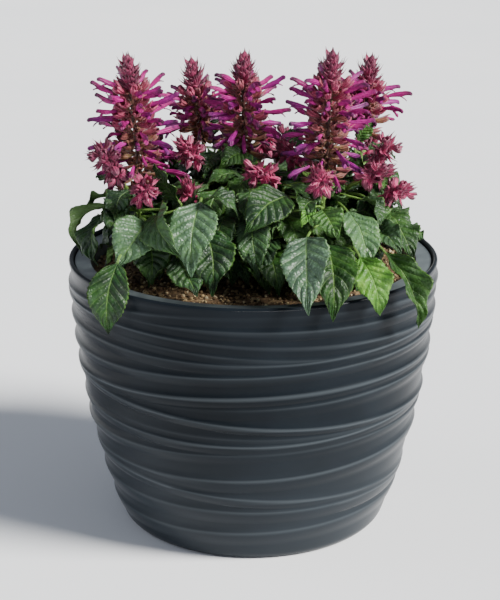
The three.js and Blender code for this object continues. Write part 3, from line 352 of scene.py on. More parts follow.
def makePiece(name, batches, material, slotName, *replaced):
    # one mesh of several batches of tubes
    vertices, quads, fans = [], [], []
    marks = {key: [] for batch in batches for key in batch["marks"]}
    first = 0
    for batch in batches:
        count, rows, columns = batch["points"].shape[:3]
        each = rows * columns + 2
        points = np.concatenate([batch["points"].reshape(count, -1, 3), batch["ends"]], 1)
        vertices.append(points.reshape(-1, 3))
        starts = first + each * np.arange(count)[:, None, None]
        for faces, own in zip((quads, fans), tubeFaces(rows, columns)):
            faces.append((own + starts).reshape(-1, own.shape[1]))
        for key in marks:
            value = np.broadcast_to(batch["marks"].get(key, 0.0), (count, rows, columns))
            poles = value[:, [0, -1]].mean(2)
            marks[key].append(np.concatenate([value.reshape(count, -1), poles], 1).ravel())
        first += each * count
    vertices, quads, fans = np.concatenate(vertices), np.concatenate(quads), np.concatenate(fans)
    mesh = bpy.data.meshes.new(name)
    mesh.vertices.add(len(vertices))
    mesh.vertices.foreach_set("co", (vertices * mm).ravel())
    corners = np.concatenate([quads.ravel(), fans.ravel()])
    mesh.loops.add(len(corners))
    mesh.loops.foreach_set("vertex_index", corners)
    starts = np.concatenate([4 * np.arange(len(quads)), 4 * len(quads) + 3 * np.arange(len(fans))])
    mesh.polygons.add(len(starts))
    mesh.polygons.foreach_set("loop_start", starts)
    mesh.polygons.foreach_set("use_smooth", np.ones(len(starts), bool))
    mesh.update(calc_edges=True)
    for key, values in marks.items():
        mesh.attributes.new(key, "FLOAT", "POINT").data.foreach_set("value", np.concatenate(values))
    mesh.materials.append(material)
    piece = bpy.data.objects.new(name, mesh)
    bpy.context.scene.collection.objects.link(piece)
    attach(piece, "root")
    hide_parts(*replaced)


def ringsAbout(middles, u, v, radii, angles, squareness=2.0):
    # rings of one section along a line of middles: a circle, or a rounded square with its corners on u and v
    c, s = np.cos(angles), np.sin(angles)
    reach = (np.abs(c) ** squareness + np.abs(s) ** squareness) ** (-1 / squareness)
    spread = u[:, None] * (reach * c)[None, :, None] + v[:, None] * (reach * s)[None, :, None]
    return middles[:, None] + np.asarray(radii)[:, None, None] * spread


# pot

pot = {
    "height": 260, "columns": 240, "bandRows": 3, "insideDepth": 6, "floorThickness": 5,
    "wall": [[0, 129], [25, 137.3], [60, 148], [101, 157], [146, 165.4], [191, 170.7], [227, 174],
             [260, 175]],
    "footRound": 8, "footInset": 0.6, "footSteps": [0, 0.3, 1, 2, 3.4, 5, 6.6], "leastRow": 0.35,
    "ridgeRise": 7, "ridgeSink": 1.6, "rollPower": 0.65, "front": 0.85, "plainBand": [250, 256],
    "crestHighlight": 1.1, "crestDrop": 0.6, "crestFade": [0.3, 2.8], "lipFoot": 256.5, "lipInner": 170.7,
    "lipRound": 2.2, "lipRows": 11, "ledgeHeight": 252, "ledgeRadius": 163, "ledgeThickness": 4,
    "ledgeBevel": [0.5, 0.6], "insideHeights": [236, 190, 140, 80, 40],
}
# crest height and relief at 60 degrees left of the front, at the front and at 60 degrees right, and the
# width of the rounded face below the crest; the last two are too slight for the solid pot
ridges = [
    [[241, 251, 246], [2.6, 0.8, 2.6], 8], [[238, 238, 234], [0.8, 1.6, 2.0], 8],
    [[231, 224.5, 216.5], [2.8, 1.2, 2.8], 9], [[208.5, 207, 211.5], [2.8, 1.6, 2.8], 9],
    [[187, 195.5, 201], [3.0, 2.0, 2.4], 8], [[165, 176, 179.5], [3.0, 2.8, 3.0], 9],
    [[158, 164, 170], [0.6, 1.2, 3.0], 10], [[158.5, 146, 137.5], [3.0, 2.8, 3.0], 7],
    [[130, 127, 134], [2.4, 2.4, 2.6], 9], [[110, 118, 124], [3.0, 1.2, 2.0], 8],
    [[87, 91, 100], [1.6, 2.6, 2.8], 13], [[80, 70, 62], [2.2, 2.6, 1.6], 9],
    [[55, 56, 56], [2.0, 2.0, 2.0], 13], [[27, 32, 38], [2.0, 2.2, 2.0], 14],
    [[222, 213, 204], [0.6, 1.3, 0.5], 7], [[137, 134, 133], [0.6, 1.2, 1.0], 6],
]


def roundPot(readings, angle):
    # mean and swing round the pot, with a twofold wave, through the three readings
    left, front, right = readings
    mean = (left + right) / 2
    twofold = (front - mean) / 1.5
    swing = (right - left) / (2 * np.sin(np.pi / 3))
    return mean + twofold / 2 + swing * np.sin(angle) + twofold * np.cos(2 * angle)


def wallRadius(z):
    # the plain wall under the ridges
    return np.interp(z, *np.transpose(pot["wall"]))


def crestHighlight(angle, z):
    # how near a place is to the top of a ridge, as the share of the painted highlight there: a bell curve
    # down from each crest, fainter on a low ridge
    nearest = 0
    for crest, relief, _ in ridges:
        away = (z - roundPot(crest, angle) + pot["crestDrop"]) / pot["crestHighlight"]
        strength = smooth(*pot["crestFade"], roundPot(relief, angle))
        nearest = np.maximum(nearest, np.exp(-away ** 2) * strength)
    return nearest


def ridgeRelief(angle, z):
    # the tallest ridge at each place: a rounded roll down to its crease, and above its crest a hollow that
    # runs out as the square of the way left
    tallest = np.zeros(np.broadcast(angle, z).shape)
    for crest, relief, width in ridges:
        above = z - roundPot(crest, angle)
        below = (1 - np.clip(-above / width, 0, 1) ** 2) ** pot["rollPower"]
        over = (1 - np.clip(above / pot["ridgeRise"], 0, 1)) ** 2
        full = roundPot([relief[0], pot["front"] * relief[1], relief[2]], angle)
        tallest = np.maximum(tallest, full * np.where(above > 0, over, below))
    return tallest


def outerRadius(angle, z):
    # the wall with its ridges, which fade below the lip, and a rounded foot
    low, high = pot["plainBand"]
    ridged = 1 - np.clip((z - low) / (high - low), 0, 1)
    turnIn = np.clip((pot["footRound"] - z) / pot["footRound"], 0, 1)
    foot = pot["footRound"] * pot["footInset"] * (1 - np.sqrt(1 - turnIn ** 2))
    return wallRadius(z) + ridged * (ridgeRelief(angle, z) - pot["ridgeSink"]) - foot


def makePot():
    # a ring at every crest and crease and at eased places between them, so that each ridge keeps its edge
    angle = roundTurn(pot["columns"])
    level = np.ones(len(angle))
    steps = [roundPot(crest, angle) - down for crest, _, width in ridges
             for down in (-pot["ridgeRise"], 0, width)]
    steps = np.vstack([pot["footRound"] * level, np.sort(np.array(steps), axis=0), pot["lipFoot"] * level])
    for k in range(1, len(steps)):
        steps[k] = np.maximum(steps[k], steps[k - 1] + pot["leastRow"])
    eased = (1 - np.cos(np.pi * np.arange(pot["bandRows"]) / pot["bandRows"])) / 2
    bands = steps[:-1, None] + np.diff(steps, axis=0)[:, None] * eased[None, :, None]
    foot = np.array(pot["footSteps"])[:, None] * level
    z = np.vstack([foot, bands.reshape(-1, len(angle)), steps[-1:]])
    radius = outerRadius(angle, z)
    outer, inner = wallRadius(pot["height"]), pot["lipInner"]
    turn = np.linspace(0, np.pi, pot["lipRows"])
    lip = [(outer + inner) / 2 + (outer - inner) / 2 * np.cos(turn),
           pot["height"] - pot["lipRound"] * (1 - np.sin(turn))]
    ledge, shelf, (aside, down) = pot["ledgeHeight"], pot["ledgeRadius"], pot["ledgeBevel"]
    inside = [[inner, ledge + down], [inner - aside, ledge], [shelf + aside, ledge], [shelf, ledge - down],
              [shelf, ledge - pot["ledgeThickness"]]]
    inside += [[wallRadius(h) - pot["insideDepth"], h]
               for h in (*pot["insideHeights"], pot["floorThickness"])]
    profile = np.hstack([lip, np.transpose(inside)])[:, :, None] * level
    radius, z = np.vstack([radius, profile[0]]), np.vstack([z, profile[1]])
    points = np.stack([radius * np.sin(angle), -radius * np.cos(angle), z], -1)
    shell = tubes(points[None], [[[0, 0, 0], [0, 0, pot["floorThickness"]]]], crest=crestHighlight(angle, z)[None])
    makePiece("wave_pot", [shell], materials["pot"], "pot_plastic", "planter")


makePot()
print("pot made")


# liner and soil

liner = {
    "columns": 192, "flangeRadius": 169.5, "flangeTop": 256.8, "under": 252.3, "mouth": 154.2, "foot": 106.5,
    "floor": 44, "wall": 3, "edge": 0.9, "edgeRings": 7, "mouthRings": 4,
    "dish": [162, 0.5],  # radius and depth of the hollow in the flange's top
}


def makeLiner():
    # a turned profile: under the floor, up the outside, round the flange's edge and down the inside
    wall, edge, top = liner["wall"], liner["edge"], liner["flangeTop"]
    rim = [[liner["flangeRadius"] - edge + edge * np.cos(a), z + edge * np.sin(a)]
           for a in np.linspace(-np.pi / 2, np.pi / 2, liner["edgeRings"])
           for z in [top - edge if a > 0 else liner["under"] + edge]]
    down = [[liner["mouth"] + edge * (1 - np.cos(a)), top - edge * (1 - np.sin(a))]
            for a in np.linspace(np.pi / 2, 0, liner["mouthRings"])]
    dish = [liner["dish"][0], top - liner["dish"][1]]
    profile = [[liner["foot"] + wall, liner["floor"] - wall], [liner["mouth"] + wall, liner["under"]], *rim,
               dish, *down, [liner["foot"], liner["floor"]]]
    radius, z = np.transpose(profile)[:, :, None]
    angle = roundTurn(liner["columns"])
    points = np.stack(np.broadcast_arrays(radius * np.cos(angle), radius * np.sin(angle), z), -1)
    shell = tubes(points[None], [[[0, 0, liner["floor"] - wall], [0, 0, liner["floor"]]]])
    makePiece("pot_liner", [shell], materials["liner"], "liner_plastic", "liner")


makeLiner()

soil = {
    "columns": 168, "rings": 62, "rise": [[0, 250], [60, 250], [110, 248], [152.6, 245.5]],
    "foot": [105.8, 44.3], "shoulder": [152.0, 240.0], "top": [152.9, 2],
    "lumps": [[17, 1], [6, 0.6], [2.4, 0.35]],  # size and share of each kind
    "lumpHeight": 0.75, "lumpSeed": 11, "patch": 3.1, "patchSeed": 14,
}
grains = {"count": 2800, "seed": 200000, "size": [0.9, 2.2], "reach": 151, "sides": 5, "rough": [0.7, 1.25],
          "sink": 0.35, "rings": 0.45, "poles": 0.85}
fibres = {"count": 160, "seed": 400000, "length": [5, 14], "reach": 145, "rings": 6, "bow": 0.3, "lift": 0.7,
          "section": [[0, 0.26], [-0.22, -0.13], [0.22, -0.13]]}


def soilHeight(x, y):
    # the heap's own rise with three sizes of lump on it
    level = np.interp(np.hypot(x, y), *np.transpose(soil["rise"]))
    lumps = sum(share * lattice(x / size, y / size, soil["lumpSeed"] + k)
                for k, (size, share) in enumerate(soil["lumps"]))
    return level + soil["lumpHeight"] * lumps


def makeSoil():
    # a shell: up from the foot, over the shoulder below the liner's mouth and in over the heap
    angle, (foot, low), (shoulder, high) = roundTurn(soil["columns"]), soil["foot"], soil["shoulder"]
    rings = np.concatenate([[foot, shoulder], np.linspace(*soil["top"], soil["rings"])])[:, None]
    x, y = rings * np.cos(angle), rings * np.sin(angle)
    z = soilHeight(x, y)
    z[0], z[1] = low, high
    ends = [[[0, 0, low], [0, 0, float(soilHeight(0.0, 0.0))]]]
    patches = lattice(x / soil["patch"], y / soil["patch"], soil["patchSeed"])
    chance = 0.1 + 0.5 * np.clip(0.5 + 0.5 * patches, 0, 1)
    heap = tubes(np.stack([x, y, z], -1)[None], ends, chance=chance[None])
    makePiece("potting_soil", [heap], materials["soil"], "soil_mix", "soil")


def scattered(seeds, reach):
    # places drawn evenly over a round of the soil
    far, bearing = reach * np.sqrt(draw(seeds)), 2 * np.pi * draw(seeds + 1)
    return far * np.cos(bearing), far * np.sin(bearing)


def makeGrains():
    # crumbs of five sides: a small tube of two rings, each corner pushed in or out by a drawn share
    seeds, sides = grains["seed"] + 40 * np.arange(grains["count"]), grains["sides"]
    x, y = scattered(seeds, grains["reach"])
    size = mix(*grains["size"], draw(seeds + 2) ** 2.2)
    middle = np.stack([x, y, soilHeight(x, y) + grains["sink"] * size], -1)
    axis = unit(np.stack([draw(seeds + k) - 0.5 for k in (3, 4, 5)], -1) + [0, 0, 1e-3])
    u = unit(np.cross(axis, [0.31, 0.89, 0.34]))
    v = np.cross(axis, u)
    corner = roundTurn(sides)
    drawn = draw(seeds[:, None, None] + 6 + np.arange(2 * sides).reshape(2, sides))
    away = mix(*grains["rough"], drawn) * size[:, None, None]
    lengthwise = size[:, None] * np.array([-1, 1])
    points = (middle[:, None, None]
              + (away * np.cos(corner))[..., None] * u[:, None, None]
              + (away * np.sin(corner))[..., None] * v[:, None, None]
              + (grains["rings"] * lengthwise)[:, :, None, None] * axis[:, None, None])
    ends = middle[:, None] + (grains["poles"] * lengthwise)[..., None] * axis[:, None]
    crumbs = tubes(points, ends, chance=draw(seeds + 20)[:, None, None])
    makePiece("soil_crumbs", [crumbs, coirFibres()], materials["soil"], "soil_mix", "soil")


def coirFibres():
    # thin three-sided strands, each bent once across and lying on the soil
    seeds = fibres["seed"] + 20 * np.arange(fibres["count"])
    start = np.stack(scattered(seeds, fibres["reach"]), -1)
    heading = 2 * np.pi * draw(seeds + 2)
    length = mix(*fibres["length"], draw(seeds + 3))[:, None]
    s = np.linspace(-0.5, 0.5, fibres["rings"])
    bow = mix(-fibres["bow"], fibres["bow"], draw(seeds + 4))[:, None] * length * (1 - 4 * s ** 2)
    ahead = np.stack([np.cos(heading), np.sin(heading)], -1)
    aside = np.stack([-ahead[:, 1], ahead[:, 0]], -1)
    flat = start[:, None] + (length * s)[..., None] * ahead[:, None] + bow[..., None] * aside[:, None]
    z = soilHeight(flat[..., 0], flat[..., 1]) + fibres["lift"]
    middles = np.concatenate([flat, z[..., None]], -1)
    wide, high = np.transpose(fibres["section"])[:, :, None]
    sides = np.concatenate([aside, np.zeros((len(aside), 1))], -1)
    points = middles[:, :, None] + wide * sides[:, None, None] + high * up
    along = sides[:, [1, 0, 2]]
    ends = middles[:, [0, -1]] + np.stack([-along, along], 1) * 0.1
    return tubes(points[:, :, ::-1], ends, chance=(0.7 + 0.2 * draw(seeds + 5))[:, None, None])


makeSoil()
makeGrains()
print("liner and soil made")


# where the solid plants' organs and leaves stand

def vertexTree(node):
    # the CAD node's vertices, in millimetres, to look up
    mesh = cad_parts[node].data
    places = np.empty(3 * len(mesh.vertices))
    mesh.vertices.foreach_get("co", places)
    places = np.unique(np.round(places.reshape(-1, 3) / mm, 3), axis=0)
    tree = KDTree(len(places))
    for i, place in enumerate(places):
        tree.insert(place, i)
    tree.balance()
    return tree


nearEnough = 0.06  # millimetres between a worked-out place and its vertex on the solid


def onNode(tree, points):
    # how many of the points are vertices of the node
    return sum(tree.find(point)[2] < nearEnough for point in np.asarray(points).reshape(-1, 3))


spikes = [
    [[-104, -20, 329], [-114, -30, 457]], [[-49, 70, 353], [-61, 75, 437]], [[-9, 20, 354], [-9, 15, 453]],
    [[67, -25, 338], [71, -30, 462]], [[106, 60, 365], [113, 62, 442]],
]
budHeads = [
    [[-123, -45, 345], [-146, -60, 383]], [[-101, -70, 332], [-91, -95, 357]],
    [[-53, -10, 353], [-71, -25, 374]], [[17, -40, 341], [-8, -65, 357]], [[40, 10, 347], [23, 0, 366]],
    [[61, -75, 343], [57, -85, 363]], [[111, -5, 344], [134, -5, 377]], [[103, -45, 343], [127, -50, 353]],
    [[120, -40, 323], [147, -45, 337]],
    [[-58, -38, 320], [-61, -50, 342]], [[9, 47, 349], [16, 52, 376]], [[28, 105, 330], [36, 128, 356]],
    [[-92, 72, 335], [-112, 86, 362]], [[112, 104, 325], [124, 122, 350]],
]
head = {
    "whorlCount": 5, "whorlPitch": 9.5, "calyxLength": [22.5, 18.5], "calyxTilt": [97, 54],
    "calyxRadius": 4.3, "belly": 0.6, "crown": [[33, 46, 17], [26, 38, 16.5], [19, 31, 13]], "crownEnd": 14,
    "bractRadius": 3.5, "steepest": 29, "budEnd": 0.72, "budRadius": 4.2, "coreRadius": 2.6,
    "budWhorls": [[0, 99, 15.5], [0.2, 74, 17], [0.4, 53, 17], [0.58, 35, 15]],
    "middleRadius": 3.4, "bearingScatter": 0.22, "section": [[-0.87, -0.5], [0.87, -0.5], [0, 1]],
    "tiltScatter": {"calyx": 14, "bract": 6}, "organSize": [0.93, 1.09], "neck": 0.92, "droop": [0.44, 0.08],
    "seeds": {"spike": 5000, "bud": 40000},
    # swings of tilt and bearing and shares of length that an organ may have been given on the solid
    "bends": [[0, 0, 1], [-14, 0, 1], [12, 0, 1], [0, 14, 0.95], [0, -14, 0.95], [-28, 0, 0.95],
              [-14, 18, 0.9], [-14, -18, 0.9], [14, 18, 0.85], [14, -18, 0.85], [-34, 0, 0.8], [0, 0, 0.7],
              [-20, 0, 0.6], [0, 0, 0.45]],
}


def spikeWhorls(long):
    # calyces every whorlPitch up the stem, then the crown of bracts
    room = long - head["crown"][0][0]
    count = round(room / head["whorlPitch"])
    ups = [k / (count - 1) for k in range(count)]
    calyces = [{"kind": "calyx", "up": u, "rise": room * k / count, "radius": head["calyxRadius"],
                "tilt": mix(*head["calyxTilt"], u), "length": mix(*head["calyxLength"], u)}
               for k, u in enumerate(ups)]
    bracts = [{"kind": "bract", "up": 1.0, "rise": long - below, "tilt": tilt, "length": length,
               "radius": head["bractRadius"]} for below, tilt, length in head["crown"]]
    return calyces + bracts, long - head["crownEnd"]


def budWhorls(long):
    # bracts at shares of the head's length
    whorls = [{"kind": "bract", "up": share, "rise": share * long, "tilt": tilt, "length": length,
               "radius": head["budRadius"]} for share, tilt, length in head["budWhorls"]]
    return whorls, head["budEnd"] * long


def leaning(axis, u, v, turn, tilt):
    # the way out from a head's axis at a bearing, and the frame of an organ that leans that way by the tilt
    out = u * np.cos(turn) + v * np.sin(turn)
    return out, {"way": axis * np.cos(tilt) + out * np.sin(tilt), "side": v * np.cos(turn) - u * np.sin(turn),
                 "top": axis * np.sin(tilt) - out * np.cos(tilt)}


def organOn(headFrame, whorl, k, j, seed, bend):
    # the organ on one face of the core, bent as asked: it leaves the face's middle, tilted from the axis
    axis, u, v, rings = headFrame
    tiltBy, bearingBy, share = bend
    count = head["whorlCount"]
    foot = rings[k][j] + rings[k][(j + 1) % count] + rings[k + 1][j]
    turn = 2 * np.pi * (j + k / 2) / count + np.pi / count + head["bearingScatter"] * (draw(seed) - 0.5)
    scatter = head["tiltScatter"][whorl["kind"]] * (draw(seed + 900) - 0.5)
    tilt = np.radians(max(head["steepest"], whorl["tilt"] + scatter + tiltBy))
    _, placed = leaning(axis, u, v, turn + np.radians(bearingBy), tilt)
    length = whorl["length"] * mix(*head["organSize"], draw(seed + 1800)) * share
    return {**whorl, **placed, "root": foot / 3, "length": length, "seed": seed}


def bellyOf(organ):
    # the three corners of the solid organ's widest section
    middle = organ["root"] + organ["way"] * head["belly"] * organ["length"]
    return [middle + organ["radius"] * (x * organ["side"] + y * organ["top"]) for x, y in head["section"]]


def flowerOn(organ):
    # the tube leaves the calyx's mouth and droops a little, more so low on the spike
    way = unit(organ["way"] - up * mix(*head["droop"], organ["up"]))
    above = np.cross(organ["side"], way)
    above = above if above[2] >= 0 else -above
    neck = organ["root"] + organ["way"] * head["neck"] * organ["length"]
    return {"way": way, "side": np.cross(above, way), "above": above, "neck": neck}


def grownHead(line, whorlsOf, firstSeed, tree):
    # each organ as it stands on the solid head: the bend whose widest section lies on the head's vertices
    base, tip = np.array(line, float)
    axis, long = unit(tip - base), np.linalg.norm(tip - base)
    u, v = across(axis)
    whorls, end = whorlsOf(long)
    count = head["whorlCount"]
    rings = []
    for k, rise in enumerate([*(whorl["rise"] for whorl in whorls), end]):
        radius = mix(head["coreRadius"], head["middleRadius"], np.sin(np.pi * rise / long))
        bearing = 2 * np.pi * (np.arange(count) + k / 2) / count
        outwards = np.cos(bearing)[:, None] * u + np.sin(bearing)[:, None] * v
        rings.append(base + axis * rise + radius * outwards)
    organs = []
    for k, whorl in enumerate(whorls):
        for j in range(count):
            seed = firstSeed + 20 * k + j
            tries = (organOn((axis, u, v, rings), whorl, k, j, seed, bend) for bend in head["bends"])
            organ = next((o for o in tries if onNode(tree, bellyOf(o)) == 3), None)
            if organ is None:
                continue
            if not onNode(tree, organ["root"] + organ["way"] * organ["length"]):
                organ["flower"] = flowerOn(organ)
            organs.append(organ)
    return {"base": base, "axis": axis, "long": long, "end": end, "u": u, "v": v, "organs": organs}


def grownHeads(lines, whorlsOf, node, firstSeed):
    # the heads of one kind, each looked up on its own node
    return [grownHead(line, whorlsOf, firstSeed + 5000 * k, vertexTree(f"{node}_{k + 1}"))
            for k, line in enumerate(lines)]


grownSpikes = grownHeads(spikes, spikeWhorls, "flower_spike", head["seeds"]["spike"])
grownBuds = grownHeads(budHeads, budWhorls, "bud_head", head["seeds"]["bud"])
print("organs found on the heads:", sum(len(h["organs"]) for h in grownSpikes + grownBuds),
      "with", sum("flower" in o for h in grownSpikes for o in h["organs"]), "in flower")


# how the parts of a head are dressed: scales set a golden angle apart close the gaps between the solid
# organs. Rise, tilt, length and radius run from the first scale to the last.
dress = {
    "golden": 2.39996, "scatter": 15, "bearing": 0.5, "size": [0.8, 1.15], "out": 1.2,
    "crown": {"below": [37, 14.5], "count": 50, "tilt": [60, 20], "length": [12.5, 14], "radius": [3.9, 3.8]},
    "bud": {"share": [-0.04, 0.6], "count": 54, "tilt": [38, 8], "length": [13.5, 15], "radius": [3.2, 2.4]},
    "remnants": {"share": [0.0, 1.0], "count": 62, "tilt": [100, 56], "length": [9, 12.5],
                 "radius": [2.4, 2.8]},
    "fan": {"count": 3, "yaw": 18, "yawScatter": 12, "pitchScatter": 16, "size": [0.82, 1.04], "radius": 1.9},
    # the kind and size of corolla that a bell without a solid one gets, from one place up the spike to
    # another, if its draw is below a share
    "opening": [["tube", "late", 0.03, 0.9, 0.8], ["young", "early", 0.05, 0.95, 1.0]],
    "slim": [0.52, 0.9], "slimTo": 0.6, "dryFrom": [0.2, 0.9], "crownTones": (0.5, 1.0),
    "limpShare": 0.36, "limpRange": [0.12, 0.75],
}
# in the bud heads: the share of closed calyces in each whorl from the foot, how far they hang and their
# length; the share of open ones, their lift, radius and length; the other organs' length, radius and lift
budDress = {
    "podChance": [0.6, 0.15, 0, 0], "podHang": 0.7, "podLength": 0.8, "podTone": -0.2,
    "bellShare": 0.45, "bellLift": 0.6, "bellRadius": 3.3, "bellLength": 0.82, "bellTone": -0.1,
    "scaleLength": 0.88, "scaleRadius": 2.3, "lift": 0.8, "tones": (0.0, 0.6),
    # heads that are greener or fresher than the rest
    "ownTones": {0: (0.6, 1.1), 11: (0.6, 1.1), 12: (0.6, 1.1), 3: (-0.4, 0.2), 5: (-0.2, 0.4)},
}


def faced(grown, rise, turn, tilt, length, radius, seed):
    # an organ that springs from a head's axis at a bearing and leans from the axis by the tilt
    out, placed = leaning(grown["axis"], grown["u"], grown["v"], turn, tilt)
    return {**placed, "root": grown["base"] + grown["axis"] * rise + dress["out"] * out, "seed": seed,
            "length": length, "radius": radius, "up": rise / grown["long"]}


def spiral(grown, low, high, settings, seed):
    # scales round a head's axis, from one rise to another
    made = []
    for i in range(settings["count"]):
        share, n = i / (settings["count"] - 1), seed + 5 * i
        tilt = np.radians(mix(*settings["tilt"], share) + dress["scatter"] * (draw(n) - 0.5))
        turn = dress["golden"] * i + dress["bearing"] * draw(n + 1)
        length = mix(*settings["length"], share) * mix(*dress["size"], draw(n + 2))
        radius = mix(*settings["radius"], share)
        made.append(faced(grown, mix(low, high, share), turn, tilt, length, radius, n))
    return made


def cluster(organ, radius, lift=0):
    # slender scales fanned about the way of one organ, lifted towards the head's axis by some degrees
    made, fan = [], dress["fan"]
    for i in range(fan["count"]):
        n = organ["seed"] + 3000 + 7 * i
        yaw = (i - (fan["count"] - 1) / 2) * fan["yaw"] + fan["yawScatter"] * (draw(n) - 0.5)
        pitch = fan["pitchScatter"] * (draw(n + 1) - 0.5) + lift
        way, top = (turned(turned(organ[key], organ["top"], yaw), organ["side"], pitch)
                    for key in ("way", "top"))
        made.append({**organ, "way": way, "top": top, "side": np.cross(top, way), "seed": n, "radius": radius,
                     "length": organ["length"] * mix(*fan["size"], draw(n + 2))})
    return made


# calyces, bracts and corollas: skins round the way of each organ

def stack(items, key):
    return np.array([item[key] for item in items], float)


def column(organs, key):
    # one number of each organ, to go with its rings and sides
    return stack(organs, key)[:, None, None]


def stations(rows):
    # a table's columns, to go with the rings of every organ
    return np.transpose(rows)[:, None, :, None]


def wrapped(organs, far, x, y, startBy, endBy, along):
    # skins from their sections: far along the way, x to the side, y to the top, and a pole at each end
    root, way, side, top = (column(organs, key) for key in ("root", "way", "side", "top"))
    points = root + way * far[..., None] + side * x[..., None] + top * y[..., None]
    angle = roundTurn(points.shape[2])
    poles = np.broadcast_arrays(startBy, endBy, np.zeros(len(organs)))[:2]
    ends = points[:, [0, -1]].mean(2) + way[:, 0] * np.stack(poles, 1)[..., None]
    return tubes(points, ends, along=along, aroundSide=np.cos(angle), aroundTop=np.sin(angle),
                 tone=column(organs, "tone"), chance=drawnFor(organs, 31))


def drawnFor(organs, n):
    # a drawn number for each organ
    return draw(np.array([o["seed"] for o in organs])[:, None, None] + n)


calyx = {
    # share of length and of radius: the outer skin from the stalk to the lips, and the lining of the throat
    "skin": [[0, 0.18], [0.07, 0.22], [0.18, 0.42], [0.34, 0.62], [0.52, 0.8], [0.68, 0.92]],
    "lips": [0.86, 0.8, 0.92, 1.04, 0.9, 0.8, 0.86, 0.84, 1.0, 0.82, 1.0, 0.84],  # the fourth is on top
    "lining": [[0.74, 0.84], [0.52, 0.6]], "depth": -0.1, "stalk": -0.6,
    # how far it gapes, round a flower and without one, and what that gives each of its last rings
    "flowering": 0.6, "gape": (0.1, 0.5), "mouth": [0.85, 1.08], "edge": [0.6, 1.3], "throat": [0.5, 1.0],
    "ragged": 0.34, "pinch": 0.7, "crumple": 0.2, "aged": 1.3, "oval": 0.1, "tall": 1.1, "sag": -0.12,
}


def calyces(organs):
    # a ribbed bell: rings of twelve sides along its way, a ragged edge that runs out into three lips, and a
    # lining that goes back down its throat. Its section and its lips are crumpled by drawn shares.
    length, radius = column(organs, "length"), column(organs, "radius")
    sides = len(calyx["lips"])
    gape = np.where([[["flower" in o]] for o in organs], calyx["flowering"],
                    mix(*calyx["gape"], drawnFor(organs, 77)))
    angle = roundTurn(sides)
    skin, lining = np.array(calyx["skin"]), np.array(calyx["lining"])
    ragged = 1 + calyx["ragged"] * (drawnFor(organs, 100 + np.arange(sides)) - 0.5)
    lips = np.array(calyx["lips"]) * ragged
    rows = lambda values: np.broadcast_to(values, (len(organs), np.shape(values)[-2], sides))
    far = np.concatenate([rows(skin[:, :1]), mix(lining[0, 0], lips, 0.5), lips, rows(lining[:, :1])], 1)
    pinch = 1 - calyx["pinch"] * smooth(0.8, 1.05, lips) * (1 - gape)
    mouth, edge, throat = (mix(*calyx[key], gape) for key in ("mouth", "edge", "throat"))
    wide = np.concatenate([rows(skin[:, 1:]), rows(mouth), edge * pinch, throat * rows(lining[:, 1:])], 1)
    crumple = calyx["crumple"] * (1 + calyx["aged"] * column(organs, "tone"))
    folds = 1 + crumple * np.cos(5 * angle + 6.3 * drawnFor(organs, 41)) * smooth(0.1, 0.6, far)
    oval = calyx["oval"] * np.cos(2 * angle + 6.3 * drawnFor(organs, 42)) * smooth(0.3, 0.9, far)
    section = wide * (folds * (1 + oval)) * radius
    y = section * calyx["tall"] * np.sin(angle) + calyx["sag"] * np.sin(np.pi * far) * length
    return wrapped(organs, far * length, section * np.cos(angle), y, calyx["stalk"],
                   calyx["depth"] * length[:, 0, 0], far)


bract = {
    # share of length and of half width: broadest at a third, then drawn out into a thorn
    "blade": [[0.02, 0.35], [0.12, 0.72], [0.3, 1.0], [0.5, 0.93], [0.67, 0.58], [0.79, 0.22], [0.9, 0.09]],
    "sides": 6, "cup": 0.55, "half": 0.5, "bow": -0.12, "thorn": (-2.2, 1.2), "start": -0.3, "tip": 0.13,
}


def bracts(organs):
    # a slender cupped scale, bowed away from the axis, whose thorn bends out or in by a drawn share
    length, radius = column(organs, "length"), column(organs, "radius")
    t, share = stations(bract["blade"])
    angle = roundTurn(bract["sides"])
    x = radius * share * np.cos(angle)
    thorn = mix(*bract["thorn"], drawnFor(organs, 43)) * t ** 3
    bend = bract["bow"] * length * np.sin(np.pi * t ** 0.9) - thorn
    y = bract["cup"] * x ** 2 / radius + bract["half"] * share ** 0.5 * np.sin(angle) + bend
    return wrapped(organs, length * t, x, y, bract["start"], bract["tip"] * length[:, 0, 0], t)


pod = {"profile": [[0, 0.14], [0.06, 0.3], [0.16, 0.66], [0.3, 0.93], [0.46, 1.0], [0.62, 0.92], [0.77, 0.66],
                   [0.89, 0.34], [0.97, 0.14]],
       "sides": 15, "radius": 3.7, "size": [0.85, 1.1], "ribs": 0.07, "tall": 1.08, "sag": 0.06,
       "start": -0.3, "tip": 0.06}


def pods(organs):
    # a closed, blown-up calyx: a turned spindle with five soft ribs and a point
    length = column(organs, "length")
    t, share = stations(pod["profile"])
    angle = roundTurn(pod["sides"])
    ribbed = 1 + pod["ribs"] * np.cos(5 * angle)
    r = pod["radius"] * share * ribbed * mix(*pod["size"], drawnFor(organs, 44))
    y = pod["tall"] * r * np.sin(angle) - pod["sag"] * length * np.sin(np.pi * t)
    return wrapped(organs, length * t, r * np.cos(angle), y, pod["start"], pod["tip"] * length[:, 0, 0], t)


